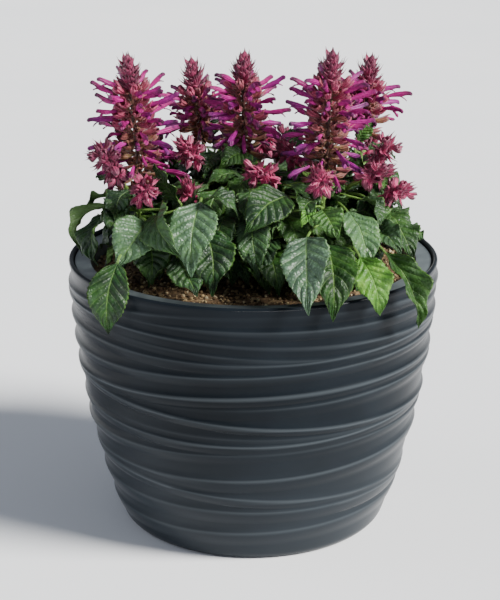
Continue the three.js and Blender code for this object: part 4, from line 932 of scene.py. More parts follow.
corolla = {
    # distance from the neck, half height, half width and rise of the middle
    "tube": [[-5, 1.2, 1.1, 0], [0, 1.6, 1.4, 0], [4, 2.0, 1.7, 0.1], [8, 2.5, 2.0, 0.2], [12, 2.8, 2.2, 0.3],
             [15, 2.7, 2.2, 0.4], [17, 2.5, 2.1, 0.7], [18.8, 2.3, 2.0, 1.1], [21, 2.1, 1.9, 1.3],
             [23, 2.1, 1.8, 1.3], [24.6, 2.2, 1.9, 1.0], [25.8, 1.5, 1.4, 0.8]],
    "young": [[-5, 1.1, 1.1, 0], [0, 1.5, 1.4, 0], [4, 1.9, 1.7, 0.1], [8, 2.2, 1.9, 0.2],
              [11, 2.1, 1.9, 0.2], [13, 1.4, 1.4, 0]],
    # the lower lip: distance from the neck, half width, rise
    "lip": {"rings": [[13, 1.5, -1.0], [15, 1.9, -2.0], [16.8, 2.3, -3.2], [18.2, 2.7, -4.4],
                      [19.2, 2.5, -5.5], [19.8, 1.6, -6.3]],
            "ragged": 0.4, "drop": [0.75, 1.1], "half": 0.32, "cup": 0.16},
    "sides": 10, "size": [0.78, 0.98], "late": [0.62, 0.92], "early": [0.45, 1.0], "bow": 3.4,
    "flat": [0.62, 1.1], "folds": [0.08, 0.22],
}


def corollas(organs, profile):
    # a tube along the flower's way, its middle bowed a little, limp and flattened by a drawn share, with
    # three folds that wind along it; the open ones have a ragged lower lip
    flowers = [{**o["flower"], "root": o["flower"]["neck"], "seed": o["seed"], "tone": o["flowerTone"],
                "top": o["flower"]["above"]} for o in organs]
    size = column(organs, "size")
    far, high, wide, rise = stations(corolla[profile])
    along = np.clip(far / far.max(), 0, 1)
    angle = roundTurn(corolla["sides"])
    bow = corolla["bow"] * (drawnFor(organs, 52) - 0.4) * np.sin(np.pi * along)
    folds = mix(*corolla["folds"], drawnFor(organs, 55)) * smooth(0, 6, far)
    folds = 1 + folds * np.cos(3 * angle + 6.3 * drawnFor(organs, 56) + far / 5)
    broad = mix(size, 1.0, 0.5) * folds
    y = (rise + bow) * size + high * broad * np.sin(angle)
    x = wide * broad * mix(*corolla["flat"], drawnFor(organs, 57)) * np.cos(angle)
    tube = wrapped(flowers, far * size, x, y, -0.5, 0.7, along)
    if profile == "young":
        return [tube]
    lip = corolla["lip"]
    far, half, rise = stations(lip["rings"])
    rows = np.arange(len(lip["rings"]))[None, :, None]
    ragged = 1 + lip["ragged"] * (drawnFor(organs, 60 + rows) - 0.5)
    x = half * ragged * np.cos(angle)
    cup = lip["cup"] * x ** 2
    y = size * rise * mix(*lip["drop"], drawnFor(organs, 54)) + lip["half"] * np.sin(angle) + cup
    reach = far * size - 0.6 * cup + 0.2 * np.sin(angle)
    return [tube, wrapped(flowers, reach, x, y, -0.5, 0.5, 0.35 + 0.5 * (far - 13) / 7)]


stalk = {"start": -0.3, "past": 1, "rings": 16, "sides": 12, "radii": (2.3, 1.7), "squareness": 1.5}


def headStalk(grown):
    # the square stem through a head, from its base to just above the last whorl
    rise = np.linspace(stalk["start"], grown["end"] + stalk["past"], stalk["rings"])
    middles = grown["base"] + rise[:, None] * grown["axis"]
    u, v = (np.broadcast_to(grown[key], middles.shape) for key in ("u", "v"))
    radii = mix(*stalk["radii"], rise / grown["long"])
    points = ringsAbout(middles, u, v, radii, roundTurn(stalk["sides"]), stalk["squareness"])
    ends = np.stack([middles[0] - 0.2 * grown["axis"], middles[-1] + grown["axis"]])
    return tubes(points[None], ends[None], tone=1.0)


def toned(organs, low, high):
    # how old each organ looks, drawn between two tones
    for organ in organs:
        organ["tone"] = float(np.clip(mix(low, high, draw(organ["seed"] + 17)), 0, 1))
    return organs


def openingOf(organ):
    # the kind and the sizes of a bell's corolla, if it has one
    if "flower" in organ:
        return "tube", corolla["size"]
    chance = draw(organ["seed"] + 80)
    for kind, sizes, low, high, share in dress["opening"]:
        if low < organ["up"] < high and chance < share:
            return kind, corolla[sizes]
    return None


def giveFlower(organ, kind, sizes, tone):
    # gives an organ its corolla
    organ["flower"] = organ.get("flower") or flowerOn(organ)
    organ["opened"], organ["flowerTone"] = kind, float(tone)
    organ["size"] = mix(*sizes, draw(organ["seed"] + 51))


def dressSpike(k, grown):
    # bells and a crown from the solid organs, dry remnants between the bells, scales over the crown, and a
    # corolla in each bell that has one; other bells in the middle of the spike get a young or a late one
    node, long, seed = f"flower_spike_{k + 1}", grown["long"], 610000 + 4000 * k
    bells = [o for o in grown["organs"] if o["kind"] == "calyx"]
    for organ in bells:
        dry = 1 - smooth(*dress["dryFrom"], organ["up"])
        organ["radius"] = organ["radius"] * mix(*dress["slim"], smooth(0.0, dress["slimTo"], organ["up"]))
        organ["tone"] = float(np.clip(dry + draw(organ["seed"] + 17) - 0.55, 0, 1))
        if opening := openingOf(organ):
            giveFlower(organ, *opening, smooth(0.65, 1.15, draw(organ["seed"] + 18) + 0.35 * dry))
    scales = [s for o in grown["organs"] if o["kind"] == "bract" for s in cluster(o, dress["fan"]["radius"])]
    low, high = (long - below for below in dress["crown"]["below"])
    scales = toned(scales + spiral(grown, low, high, dress["crown"], seed), *dress["crownTones"])
    low, high = (share * (long - dress["crown"]["below"][0]) for share in dress["remnants"]["share"])
    remnants = spiral(grown, low, high, dress["remnants"], seed + 1000)
    first, last = dress["limpRange"]
    for organ in remnants:
        drawn = 0.5 * (draw(organ["seed"] + 17) - 0.5)
        organ["tone"] = float(np.clip(1.15 - 0.9 * organ["up"] + drawn, 0, 1))
        if first < organ["up"] < last and draw(organ["seed"] + 80) < dress["limpShare"]:
            giveFlower(organ, "tube", corolla["late"], 0.7 * draw(organ["seed"] + 18))
    flowers = []
    for kind in ("tube", "young"):
        opened = [o for o in bells + remnants if o.get("opened") == kind]
        flowers += corollas(opened, kind) if opened else []
    for part, batches, material in (("stem", [headStalk(grown)], "stem"),
                                    ("calyces", [calyces(bells + remnants)], "calyx"),
                                    ("crown", [bracts(scales)], "bract"), ("flowers", flowers, "corolla")):
        makePiece(f"spike_{k + 1}_{part}", batches, materials[material], "spike_bloom", node)


def dressBud(k, grown):
    # closed calyces that hang from some of the lowest solid organs, open ones or a fan of scales from the
    # rest, and a cone of scales over the axis
    node, long, seed = f"bud_head_{k + 1}", grown["long"], 640000 + 4000 * k
    tones = np.array(budDress["ownTones"].get(k, budDress["tones"]))
    puffed, bells, scales = [], [], []
    for organ in grown["organs"]:
        whorl = round(organ["rise"] / long * 5)
        if draw(organ["seed"] + 70) < np.interp(whorl, range(4), budDress["podChance"]):
            hung = unit(organ["way"] - budDress["podHang"] * up)
            top = unit(organ["top"] - hung * (organ["top"] @ hung))
            puffed.append({**organ, "way": hung, "top": top, "side": np.cross(top, hung),
                           "length": budDress["podLength"] * organ["length"]})
        elif whorl < 4 and draw(organ["seed"] + 71) < budDress["bellShare"]:
            lift = budDress["bellLift"] * organ["tilt"]
            way, top = (turned(organ[key], organ["side"], lift) for key in ("way", "top"))
            bells.append({**organ, "way": way, "top": top, "radius": budDress["bellRadius"],
                          "length": budDress["bellLength"] * organ["length"]})
        else:
            short = {**organ, "length": budDress["scaleLength"] * organ["length"]}
            scales += cluster(short, budDress["scaleRadius"], budDress["lift"] * organ["tilt"])
    low, high = (share * long for share in dress["bud"]["share"])
    scales = toned(scales + spiral(grown, low, high, dress["bud"], seed), *tones)
    batches = [bracts(scales)]
    batches += [pods(toned(puffed, *(tones + budDress["podTone"])))] if puffed else []
    batches += [calyces(toned(bells, *(tones + budDress["bellTone"])))] if bells else []
    makePiece(f"bud_{k + 1}_stem", [headStalk(grown)], materials["stem"], "bud_bloom", node)
    makePiece(f"bud_{k + 1}_bracts", batches, materials["bract"], "bud_bloom", node)


for k, grown in enumerate(grownSpikes):
    dressSpike(k, grown)
for k, grown in enumerate(grownBuds):
    dressBud(k, grown)
print("flower spikes and bud heads made")


# stems and leaves

# each plant's foot, the head on its main stem, the bud heads on its side shoots, the tips of its leafy
# shoots, and its leaves: blade base, blade tip, width, arch, way its upper side faces, fold in degrees
plants = [
    {"root": [-98, -18], "main": spikes[0], "buds": [0, 1], "leafy": [[-108, -88, 284]], "leaves": [
        [[-132, -30, 314], [-160, -60, 275], 38, 18, [-0.3, 0.7, 0.6], 20],
        [[-126, -20, 318], [-156, -35, 306], 26, 8, [-0.2, 0.3, 1], 12],
        [[-133, -45, 311], [-140, -84, 271], 38, 10, [-0.7, -0.5, 0.4], 20],
        [[-132, -60, 308], [-124, -88, 276], 22, 6, [0.9, -0.3, 0.2], 25],
        [[-97, -75, 309], [-119, -122, 283], 46, 10, [0.1, -1, 0.5], 10],
        [[-119, -122, 286], [-128, -138, 224], 37, 10, [-0.1, -1, 0.3], 14],
        [[-82, -70, 319], [-55, -122, 270], 38, 12, [-0.45, -1, 0.4], 16],
        [[-68, -54, 324], [-81, -62, 362], 27, 4, [0, -1, 0.1], 8],
        [[-93, -85, 293], [-90, -116, 267], 36, 5, [0, -1, 0.5], 8]]},
    {"root": [-48, 62], "main": spikes[1], "buds": [2, 12], "leafy": [[-28, 98, 342]], "leaves": [
        [[-37, 10, 354], [-47, -12, 337], 22, 5, [0, -0.8, 0.7], 10],
        [[-30, 96, 368], [-49, 90, 357], 14, 3, [0, -0.9, 0.5], 8]]},
    {"root": [-2, 22], "main": spikes[2], "buds": [3, 10, 11], "leafy": [], "leaves": [
        [[-7, -4, 357], [-31, -24, 350], 24, 5, [0, -0.7, 0.9], 8],
        [[-6, -30, 340], [-23, -55, 333], 22, 5, [0, -0.8, 0.7], 8]]},
    {"root": [72, -22], "main": spikes[3], "buds": [4], "leafy": [[86, -96, 290]], "leaves": [
        [[84, -80, 321], [100, -122, 277], 34, 8, [0.4, -1, 0.3], 14],
        [[98, -68, 329], [112, -88, 307], 30, 8, [0.9, -0.2, 0.5], 20],
        [[92, -136, 295], [110, -158, 249], 34, 8, [0.1, -1, 0.3], 8],
        [[87, 8, 347], [106, -4, 342], 20, 4, [0, -0.8, 0.7], 8],
        [[101, -55, 328], [118, -82, 307], 28, 5, [0.3, -0.9, 0.6], 8]]},
    {"root": [108, 52], "main": spikes[4], "buds": [6, 7, 8, 13], "leafy": [[114, -78, 282]], "leaves": [
        [[116, -112, 292], [145, -128, 226], 38, 12, [0.5, -0.9, 0.2], 20],
        [[108, -75, 300], [129, -104, 284], 30, 6, [0.2, -1, 0.5], 8],
        [[123, -50, 313], [140, -88, 276], 34, 8, [0.5, -0.8, 0.5], 10],
        [[134, -35, 295], [158, -45, 286], 24, 3, [0.1, 0.1, 1], 6],
        [[99, 20, 364], [114, 30, 380], 18, 3, [0, -1, 0.2], 8],
        [[50, 84, 349], [28, 78, 358], 19, 3, [0, -0.8, 0.8], 8],
        [[107, -30, 339], [123, -35, 335], 12, 3, [0.1, -0.8, 0.8], 8],
        [[128, -22, 309], [140, -38, 298], 22, 5, [0.5, -0.2, 0.9], 10],
        [[114, -14, 337], [123, -24, 326], 18, 3, [0.2, -0.6, 0.9], 8]]},
    {"root": [-50, -58], "main": budHeads[9], "buds": [], "leafy": [[-45, -84, 306]], "leaves": [
        [[-47, -85, 331], [-54, -134, 275], 44, 12, [-0.05, -1, 0.5], 10],
        [[-45, -80, 328], [-12, -95, 320], 32, 14, [0.3, -0.2, 0.9], 12],
        [[-44, -92, 308], [-34, -140, 267], 42, 8, [0.2, -1, 0.4], 10],
        [[-44, -50, 349], [-60, -72, 332], 23, 6, [-0.2, -0.8, 0.7], 10],
        [[-67, -100, 283], [-49, -138, 259], 34, 5, [0, -0.9, 0.7], 8],
        [[-16, -62, 293], [-19, -104, 259], 44, 6, [0, -1, 0.6], 8]]},
    {"root": [52, -72], "main": budHeads[5], "buds": [], "leafy": [], "leaves": [
        [[47, -122, 309], [46, -184, 253], 44, 14, [-0.3, -1, 0.4], 14],
        [[62, -118, 302], [69, -176, 251], 46, 16, [0.3, -1, 0.5], 10],
        [[32, -70, 332], [-8, -112, 312], 42, 10, [-0.2, -0.8, 0.7], 8],
        [[36, -75, 320], [16, -100, 301], 24, 6, [-0.9, -0.6, 0.2], 20],
        [[54, -85, 326], [50, -104, 304], 12, 3, [0, -1, 0.3], 10],
        [[61, -85, 324], [75, -112, 304], 29, 6, [0.1, -1, 0.4], 14],
        [[18, -88, 298], [3, -120, 273], 28, 6, [-0.3, -1, 0.4], 12],
        [[18, -84, 297], [21, -94, 281], 9, 2, [0.3, -1, 0.3], 8],
        [[8, -78, 294], [13, -122, 262], 42, 6, [0, -1, 0.6], 8]]},
]
# the tiers of leaves round the sides and back: bearings from the back, radius and height of base and tip
tiers = [
    [[-78, -52, -27, -3, 22, 47, 71, 94], [98, 300], [156, 264], 42],
    [[-88, -58, -30, -2, 26, 55, 82], [74, 322], [126, 296], 38],
    [[-70, -20, 25, 70], [52, 344], [92, 330], 30],
    [[112, 138, 164, 198, 226, 250], [66, 290], [112, 260], 36],
    [[124, 152, 180, 210, 238], [48, 316], [92, 290], 34],
    [[55, 100, 140, 220, 262, 320], [26, 300], [72, 278], 34],
    [[30, 85, 130, 175, 228, 280], [14, 334], [54, 318], 30],
    [[106, 124, 232, 246, 262], [104, 292], [146, 262], 34],
]
# leaves that hang inside those, which the solid plants are too coarse for
innerTiers = [
    [[100, 122, 141, 160, 178, 199, 219, 238, 258], [74, 314], [116, 272], 32],
    [[96, 118, 140, 163, 186, 206, 229, 251], [52, 334], [90, 306], 28],
    [[108, 135, 162, 188, 214, 240], [60, 296], [100, 262], 34],
    [[106, 121, 137, 153, 169, 214, 231, 249], [84, 286], [132, 255], 34],
    [[46, 63, 80], [108, 316], [146, 290], 30],
    [[55, 72, 90], [104, 296], [148, 266], 32],
]
leaf = {
    "tierArch": 10, "tierFold": 10, "tierScatter": {"bearing": 8, "sweep": 24, "lift": 16},
    "size": [0.88, 1.12], "tierSeed": 70000, "innerSeed": 80000,
    "pair": {"out": 8, "up": 3, "length": 32, "drop": 12, "width": 26, "arch": 5, "fold": 10},
    "pairSize": [0.85, 1.25], "pairNode": 3, "pairSeed": 90000, "rings": [0, 0.14, 0.32, 0.5, 0.68, 0.86],
    "spareRings": [0, 0.2, 0.44, 0.68, 0.86], "toothDepth": 0.07, "edgeWave": 1.3, "waveFullAt": 30,
    "petioleRadius": 1.15, "stalkPull": 0.4, "stalkRoom": 5, "springDrops": [0, 14, 28], "leastFound": 4,
    "springCost": {"clear": 2, "above": 2, "ahead": 4}, "outline": [0.78, 0.9],
    # droops and yaws, in degrees, by which a blade may have been turned on the solid
    "turns": [[0, 0], [5, 0], [-5, 0], [0, 6], [0, -6], [9, 0], [-9, 0], [0, 12], [0, -12], [12, 9], [12, -9],
              [-12, 9], [-12, -9], [18, 0], [-18, 0], [0, 20], [0, -20], [24, 14], [24, -14], [-24, 14],
              [-24, -14], [10, 30], [10, -30], [0, 45], [0, -45], [15, 62], [15, -62]],
    # leaves whose halves close further, and one that has withered narrower
    "folded": {(4, 0): 46, (0, 0): 40, (4, 1): 30, (3, 2): 16}, "withered": {(0, 0): 0.62},
    # how waxy some leaves are, which sets their gloss and how much painted bluish sheen they get; the rest
    # draw it
    "wax": {(6, 0): 1.0, (6, 1): 0.0, (5, 0): 1.0, (0, 5): 0.1, (4, 0): 0.1, (6, 2): 0.1, (0, 4): 0.9,
            (3, 0): 0.9, (3, 2): 0.1, (0, 0): 0.1}, "drawnWaxAndSheen": 0.4,
    # how pale each leaf is, by plant and place in its list; the rest draw a tone
    "tones": {(3, 2): 0.8, (6, 4): 0.9, (0, 5): 0.0, (6, 1): 0.02, (6, 2): 0.0, (6, 5): 0.35, (3, 0): 0.38,
              (4, 8): 0.5, (5, 3): 0.4, (4, 4): 0.3, (3, 3): 0.4, (0, 4): 0.22}, "drawnTone": [0.0, 0.2],
    # pairs that stand lower on the stems of the first plants, at these places back from the head
    "fill": {"plants": 5, "nodes": [5, 8, 11], "above": 285, "size": [0.9, 1.5], "seed": 120000},
}
# the shape of a finer leaf: heights in millimetres, places in shares of length or of half width
fineLeaf = {
    "fine": {"rows": 61, "sides": 21, "teeth": 15}, "plain": {"rows": 31, "sides": 9, "teeth": 8},
    "fineFrom": 22, "stalkRows": 6, "stalkSwell": 0.15, "crowding": 0.9, "lastRing": 0.985,
    "tipCrowding": 0.95, "tooth": 0.13, "toothRise": 0.7, "toothMean": 0.55, "toothFade": 0.4,
    "toothEdge": 7, "pointed": 0.35,
    "foldCurve": 1.25, "waveStart": 0.14, "waveLength": 0.36, "ruffle": 3.4, "ruffleTurns": 2.6,
    "ruffleSkew": 2.2, "quilt": 0.052, "quiltCurve": 0.75, "blister": 7.0, "blisterHeight": 0.9,
    "groove": -0.4, "midrib": 0.5, "ribWidth": 0.07, "half": 0.34, "thinning": 0.55, "roundedTo": 0.07,
    # lowest and highest twist in degrees, curl and sideways bend of the tip, and phase of the ruffle
    "gesture": [[-28, 28], [-9, 2], [-4, 4], [0, 1]],
}
stem = {"footRadius": 3.4, "topRadius": 2.2, "shootRadius": 2.0, "swell": 0.3, "leafyTaper": 0.6,
        "shootStart": 262, "straightTo": 256, "foot": 224.3, "gap": 0.3, "reach": 0.4, "lift": 0.15,
        "rows": 26, "sides": 12, "squareness": 1.4, "corner": [0.6, 0.8, 0.0]}


def cubic(points, t):
    # places and ways along a curve with four poles
    a, b, c, d = (np.asarray(p, float) for p in points)
    t = np.asarray(t, float)[:, None]
    place = a * (1 - t) ** 3 + 3 * b * t * (1 - t) ** 2 + 3 * c * t ** 2 * (1 - t) + d * t ** 3
    pull = 3 * ((b - a) * (1 - t) ** 2 + 2 * (c - b) * t * (1 - t) + (d - c) * t ** 2)
    return place, unit(pull)


def stemOf(start, startWay, end, endWay, radii, foot=None):
    # a stem that leaves its start one way and meets its end another: its smooth tube, and the places on its
    # straight stretches from which leaves may spring
    reach = stem["reach"] * np.linalg.norm(end - start)
    poles = [start, start + startWay * reach, end - endWay * reach, end]
    straight = cubic(poles, np.linspace(0, 1, 5))[0]
    middles, ways = cubic(poles, np.linspace(0, 1, stem["rows"]))
    share = np.linspace(0 if foot is None else 1 / 5, 1, stem["rows"])
    if foot is not None:
        straight = np.vstack([foot, straight])
        middles, ways = np.vstack([foot, middles]), np.vstack([startWay, ways])
        share = np.concatenate([[0], share])
    quarters = np.arange(4)[:, None] / 4
    line = np.concatenate([a + (b - a) * quarters for a, b in zip(straight[:-1], straight[1:])])
    u = unit(stem["corner"] - ways * (ways @ stem["corner"])[:, None])
    angles = roundTurn(stem["sides"])
    points = ringsAbout(middles, u, np.cross(ways, u), mix(*radii, share), angles, stem["squareness"])
    ends = np.stack([middles[0] - 0.3 * ways[0], middles[-1] + 0.2 * ways[-1]])
    return {"line": line, "tube": tubes(points[None], ends[None], tone=0.0)}


def headEnd(line):
    # where a stem meets its head, and which way
    base, tip = np.array(line, float)
    axis = unit(tip - base)
    return base - axis * stem["gap"], axis


def stemsOf(plant):
    # the main stem, which starts straight up, the side shoots to the bud heads and the leafy shoots
    foot, low, start = (np.array([*plant["root"], stem[height]], float)
                        for height in ("foot", "straightTo", "shootStart"))
    end, axis = headEnd(plant["main"])
    stems = [stemOf(low, up, end, axis, (stem["footRadius"], stem["topRadius"]), foot)]
    radius = stem["shootRadius"]
    shoots = [(*headEnd(budHeads[k]), radius) for k in plant["buds"]]
    for tip in plant["leafy"]:
        shoots.append((np.array(tip, float), unit((tip - start) * [1, 1, 0]), radius * stem["leafyTaper"]))
    for end, endWay, endRadius in shoots:
        away = unit(unit(end - start) + up * stem["lift"])
        stems.append(stemOf(start, away, end, endWay, (radius + stem["swell"], endRadius)))
    return stems


def springCosts(places, base, tip, drop):
    # how ill each place on the stems suits the leaf's stalk: its distance, more if it is above the blade's
    # base and more again if it is ahead of it
    away, cost = places - base, leaf["springCost"]
    above = np.maximum(0, away[:, 2] + cost["clear"] + drop)
    ahead = np.maximum(0, away @ unit(tip - base) + leaf["stalkRoom"])
    return np.linalg.norm(away, axis=1) + cost["above"] * above + cost["ahead"] * ahead


def swung(row, turn):
    # the blade turned about its base: down by the droop, sideways by the yaw
    base, tip, width, arch, face, fold = row
    base, chord = np.array(base, float), np.array(tip, float) - base
    hinge = unit([-chord[1], chord[0], 0])
    twist = lambda v: turned(turned(np.array(v, float), hinge, turn[0]), up, turn[1])
    chord, face = twist(chord), twist(face)
    along = unit(chord)
    upper = unit(face - along * (face @ along))
    return {"base": base, "chord": chord, "upper": upper, "side": np.cross(along, upper), "width": width,
            "arch": arch, "fold": np.radians(fold)}


def outline(t):
    # the half width's share along a blade: an arch that peaks nearer to the base, a little fuller than a sine
    lean, fullness = leaf["outline"]
    return np.sin(np.pi * t ** lean) ** fullness


def solidRings(blade, shares):
    # the side corners of the solid blade's rings, by which it is found again, and its tip
    t = np.array(shares[1:])[:, None]
    i = np.arange(1, len(shares))[:, None]
    sign = np.where(i % 2 == 1, 1.0, -1.0)
    half = blade["width"] / 2 * outline(t) * (1 + leaf["toothDepth"] * sign)
    centre = blade["base"] + blade["chord"] * t + blade["upper"] * 4 * blade["arch"] * t * (1 - t)
    wave = leaf["edgeWave"] * sign * min(1, blade["width"] / leaf["waveFullAt"])
    wide = np.maximum(leaf["petioleRadius"], half * np.cos(blade["fold"]))
    rise = half * np.sin(blade["fold"])
    left = centre - blade["side"] * wide + blade["upper"] * (rise + wave)
    right = centre + blade["side"] * wide + blade["upper"] * (rise - wave)
    return np.vstack([left, right, [blade["base"] + blade["chord"]]])


def stalkOf(blade, spring):
    # the three poles of the stalk's bend: it comes into the blade's base along the arch
    way = unit(blade["chord"] + blade["upper"] * 4 * blade["arch"])
    pull = leaf["stalkPull"] * np.linalg.norm(spring - blade["base"])
    return spring, blade["base"] - way * pull, blade["base"]


def stalkRing(blade, spring):
    # the corners of the solid stalk's middle ring
    a, b, c = stalkOf(blade, spring)
    middle, way = (a + 2 * b + c) / 4, unit(c - a)
    above = unit(blade["upper"] - way * (blade["upper"] @ way))
    aside = np.cross(way, above)
    r = leaf["petioleRadius"]
    return [middle - aside * r, middle + above * r, middle + aside * r, middle - above * r]


def findLeaf(row, shares, places, tree):
    # the leaf as the solid plant carries it: the turn whose corners lie on the node's vertices, then the
    # place on the stems whose stalk does
    cornersOf = lambda blade: onNode(tree, solidRings(blade, shares))
    best = max((swung(row, turn) for turn in leaf["turns"]), key=cornersOf)
    if cornersOf(best) < leaf["leastFound"]:
        return None
    base, tip = np.array(row[0], float), np.array(row[1], float)
    springs = [places[np.argmin(springCosts(places, base, tip, drop))] for drop in leaf["springDrops"]]
    best["spring"] = max(springs, key=lambda spring: onNode(tree, stalkRing(best, spring)))
    return best


def looseLeaf(row, spring):
    # a leaf that isn't on the solid plant
    return {**swung(row, [0, 0]), "spring": spring}


def pairAt(node, seed, sizes):
    # two leaves that stand opposite each other at a place on a stem
    made, pair = [], leaf["pair"]
    for i, turn in enumerate((0, np.pi)):
        bearing = 2 * np.pi * draw(seed) + turn
        size = mix(*sizes, draw(seed + 2 + i))
        out = np.array([np.cos(bearing), np.sin(bearing), 0.0])
        base = node + out * pair["out"] + up * pair["up"]
        tip = base + out * pair["length"] * size - up * pair["drop"]
        face = [0.5 * out[0], 0.5 * out[1], 1]
        made.append([base, tip, pair["width"] * size, pair["arch"], face, pair["fold"]])
    return made


def tierLeaves(rows, firstSeed):
    # the leaves of all tiers, each swung, lifted and sized by its own draws
    made, swings = [], leaf["tierScatter"]
    for tier, (bearings, base, tip, width) in enumerate(rows):
        for k, bearing in enumerate(bearings):
            seed = firstSeed + 100 * tier + 4 * k
            a = np.radians(bearing + swings["bearing"] * (draw(seed) - 0.5))
            b = a + np.radians(swings["sweep"] * (draw(seed + 1) - 0.5))
            start = [base[0] * np.sin(a), base[0] * np.cos(a), base[1]]
            end = [tip[0] * np.sin(b), tip[0] * np.cos(b), tip[1] + swings["lift"] * (draw(seed + 2) - 0.5)]
            face = [0.8 * np.sin(a), 0.8 * np.cos(a), 0.7]
            size = width * mix(*leaf["size"], draw(seed + 3))
            made.append([start, end, size, leaf["tierArch"], face, leaf["tierFold"]])
    return made


def stalkRings(blade, x, circle):
    # the round stalk's rings, and its pole inside the stem
    a, b, c = stalkOf(blade, blade["spring"])
    s = (np.arange(fineLeaf["stalkRows"]) / fineLeaf["stalkRows"])[:, None]
    middles = a * (1 - s) ** 2 + 2 * b * s * (1 - s) + c * s ** 2
    ways = unit(2 * (b - a) * (1 - s) + 2 * (c - b) * s)
    above = unit(blade["upper"] - ways * (ways @ blade["upper"])[:, None])
    aside = np.cross(ways, above)
    r = leaf["petioleRadius"] * (1 + fineLeaf["stalkSwell"] - fineLeaf["stalkSwell"] * s)
    rings = middles[:, None] + (r * x)[..., None] * aside[:, None] + (r * circle)[..., None] * above[:, None]
    return rings, middles[0] - ways[0] * 0.5


def toothedHalf(blade, t, off, teeth):
    # half the blade's width, with a sawtooth that only the outer part of the blade follows
    saw = np.mod(t * teeth, 1) ** fineLeaf["toothRise"] - fineLeaf["toothMean"]
    tooth = fineLeaf["tooth"] * smooth(0.02, 0.12, t) * saw * (1 - fineLeaf["toothFade"] * t)
    half = blade["width"] / 2 * outline(t) * (1 - fineLeaf["pointed"] * smooth(0.7, 1.0, t))
    return half, half * (1 + tooth * off ** fineLeaf["toothEdge"])


def bladeHeight(blade, t, x, half, size, phase, seed):
    # the fold, the wave of the edge, quilts between the veins, small blisters and ruffles on them, and a
    # groove over the rib; all but the fold and the groove fade towards the base
    off = np.abs(x)
    rise = half * np.sin(blade["fold"]) * off ** fineLeaf["foldCurve"]
    waved = np.cos(2 * np.pi * (t - fineLeaf["waveStart"]) / fineLeaf["waveLength"])
    wave = -leaf["edgeWave"] * size * waved * np.sign(x) * off ** 2
    ruffled = np.sin(2 * np.pi * (fineLeaf["ruffleTurns"] * t + phase) + fineLeaf["ruffleSkew"] * (x > 0))
    ruffle = fineLeaf["ruffle"] * size * ruffled * off ** 3
    swelling = np.abs(np.sin(np.pi * (veins["count"] * t - veins["slant"] * off))) ** fineLeaf["quiltCurve"]
    quilt = fineLeaf["quilt"] * blade["width"] * swelling * off ** 0.5 * (1 - off ** 4)
    across, along = half * x, np.broadcast_to(np.linalg.norm(blade["chord"]) * t, (len(t), len(x)))
    blisters = lattice(across / fineLeaf["blister"], along / fineLeaf["blister"], seed)
    groove = fineLeaf["groove"] * size * np.exp(-(off / fineLeaf["ribWidth"]) ** 2) * smooth(0.0, 0.1, t)
    grown = smooth(0.0, 0.12, t) * (1 - smooth(0.88, 1.0, t))
    relief = (quilt + ruffle + fineLeaf["blisterHeight"] * blisters) * grown
    return rise + (wave * smooth(0, 0.1, t) + relief) + groove


def leafTube(blade, detail, seed, tone, wax):
    # one skin from the stem to the tip. Along: a round stalk on a bent line, then the arched blade, which
    # twists and curls a little more towards its tip. Across: an upper face from the left edge to the right
    # and a lower face back, which carries the rib.
    x = np.linspace(-1, 1, detail["sides"])
    x = np.sign(x) * np.abs(x) ** fineLeaf["crowding"]
    x = np.concatenate([x, x[-2:0:-1]])
    face, off = np.where(np.arange(len(x)) < detail["sides"], 1.0, -1.0), np.abs(x)
    t = (np.linspace(0, fineLeaf["lastRing"], detail["rows"]) ** fineLeaf["tipCrowding"])[:, None]
    size = min(1, blade["width"] / leaf["waveFullAt"])
    twist, curl, bend, phase = (mix(*ends, draw(seed + k)) for k, ends in enumerate(fineLeaf["gesture"]))
    chord, upper, side = blade["chord"], blade["upper"], blade["side"]
    centre = (blade["base"] + chord * t + upper * (4 * blade["arch"] * t * (1 - t) + curl * size * t ** 3)
              + side * (bend * size * np.sin(np.pi * t)))
    a = np.radians(twist) * smooth(0.1, 1.0, t)
    upper, side = upper * np.cos(a) - side * np.sin(a), side * np.cos(a) + upper * np.sin(a)
    half, reach = toothedHalf(blade, t, off, detail["teeth"])
    height = bladeHeight(blade, t, x, half, size, phase, seed)
    midrib = fineLeaf["midrib"] * np.exp(-(off / fineLeaf["ribWidth"]) ** 2) * (1 - t) * (face < 0)
    thickness = fineLeaf["half"] * (1 - fineLeaf["thinning"] * off ** 2) + midrib
    # near its base the section rounds off into the stalk
    rounded, r = 1 - smooth(0.0, fineLeaf["roundedTo"], t), leaf["petioleRadius"] * mix(1.0, 0.85, t)
    circle = np.sqrt(np.clip(1 - x ** 2, 0, 1)) * face
    lift = mix(height + thickness * face, r * circle, rounded)
    wide = mix(np.maximum(reach * np.cos(blade["fold"]), r * 0.6), r, rounded) * x
    points = centre[:, None] + side[:, None] * wide[..., None] + upper[:, None] * lift[..., None]
    stalk, spring = stalkRings(blade, x, circle)
    ends = [spring, points[-1].mean(0) + unit(chord) * 0.9]
    along = np.concatenate([np.full((len(stalk), 1), -0.1), t])
    return tubes(np.concatenate([stalk, points])[None], [ends], along=along, across=x, under=face < 0,
                 tone=tone, wax=wax)


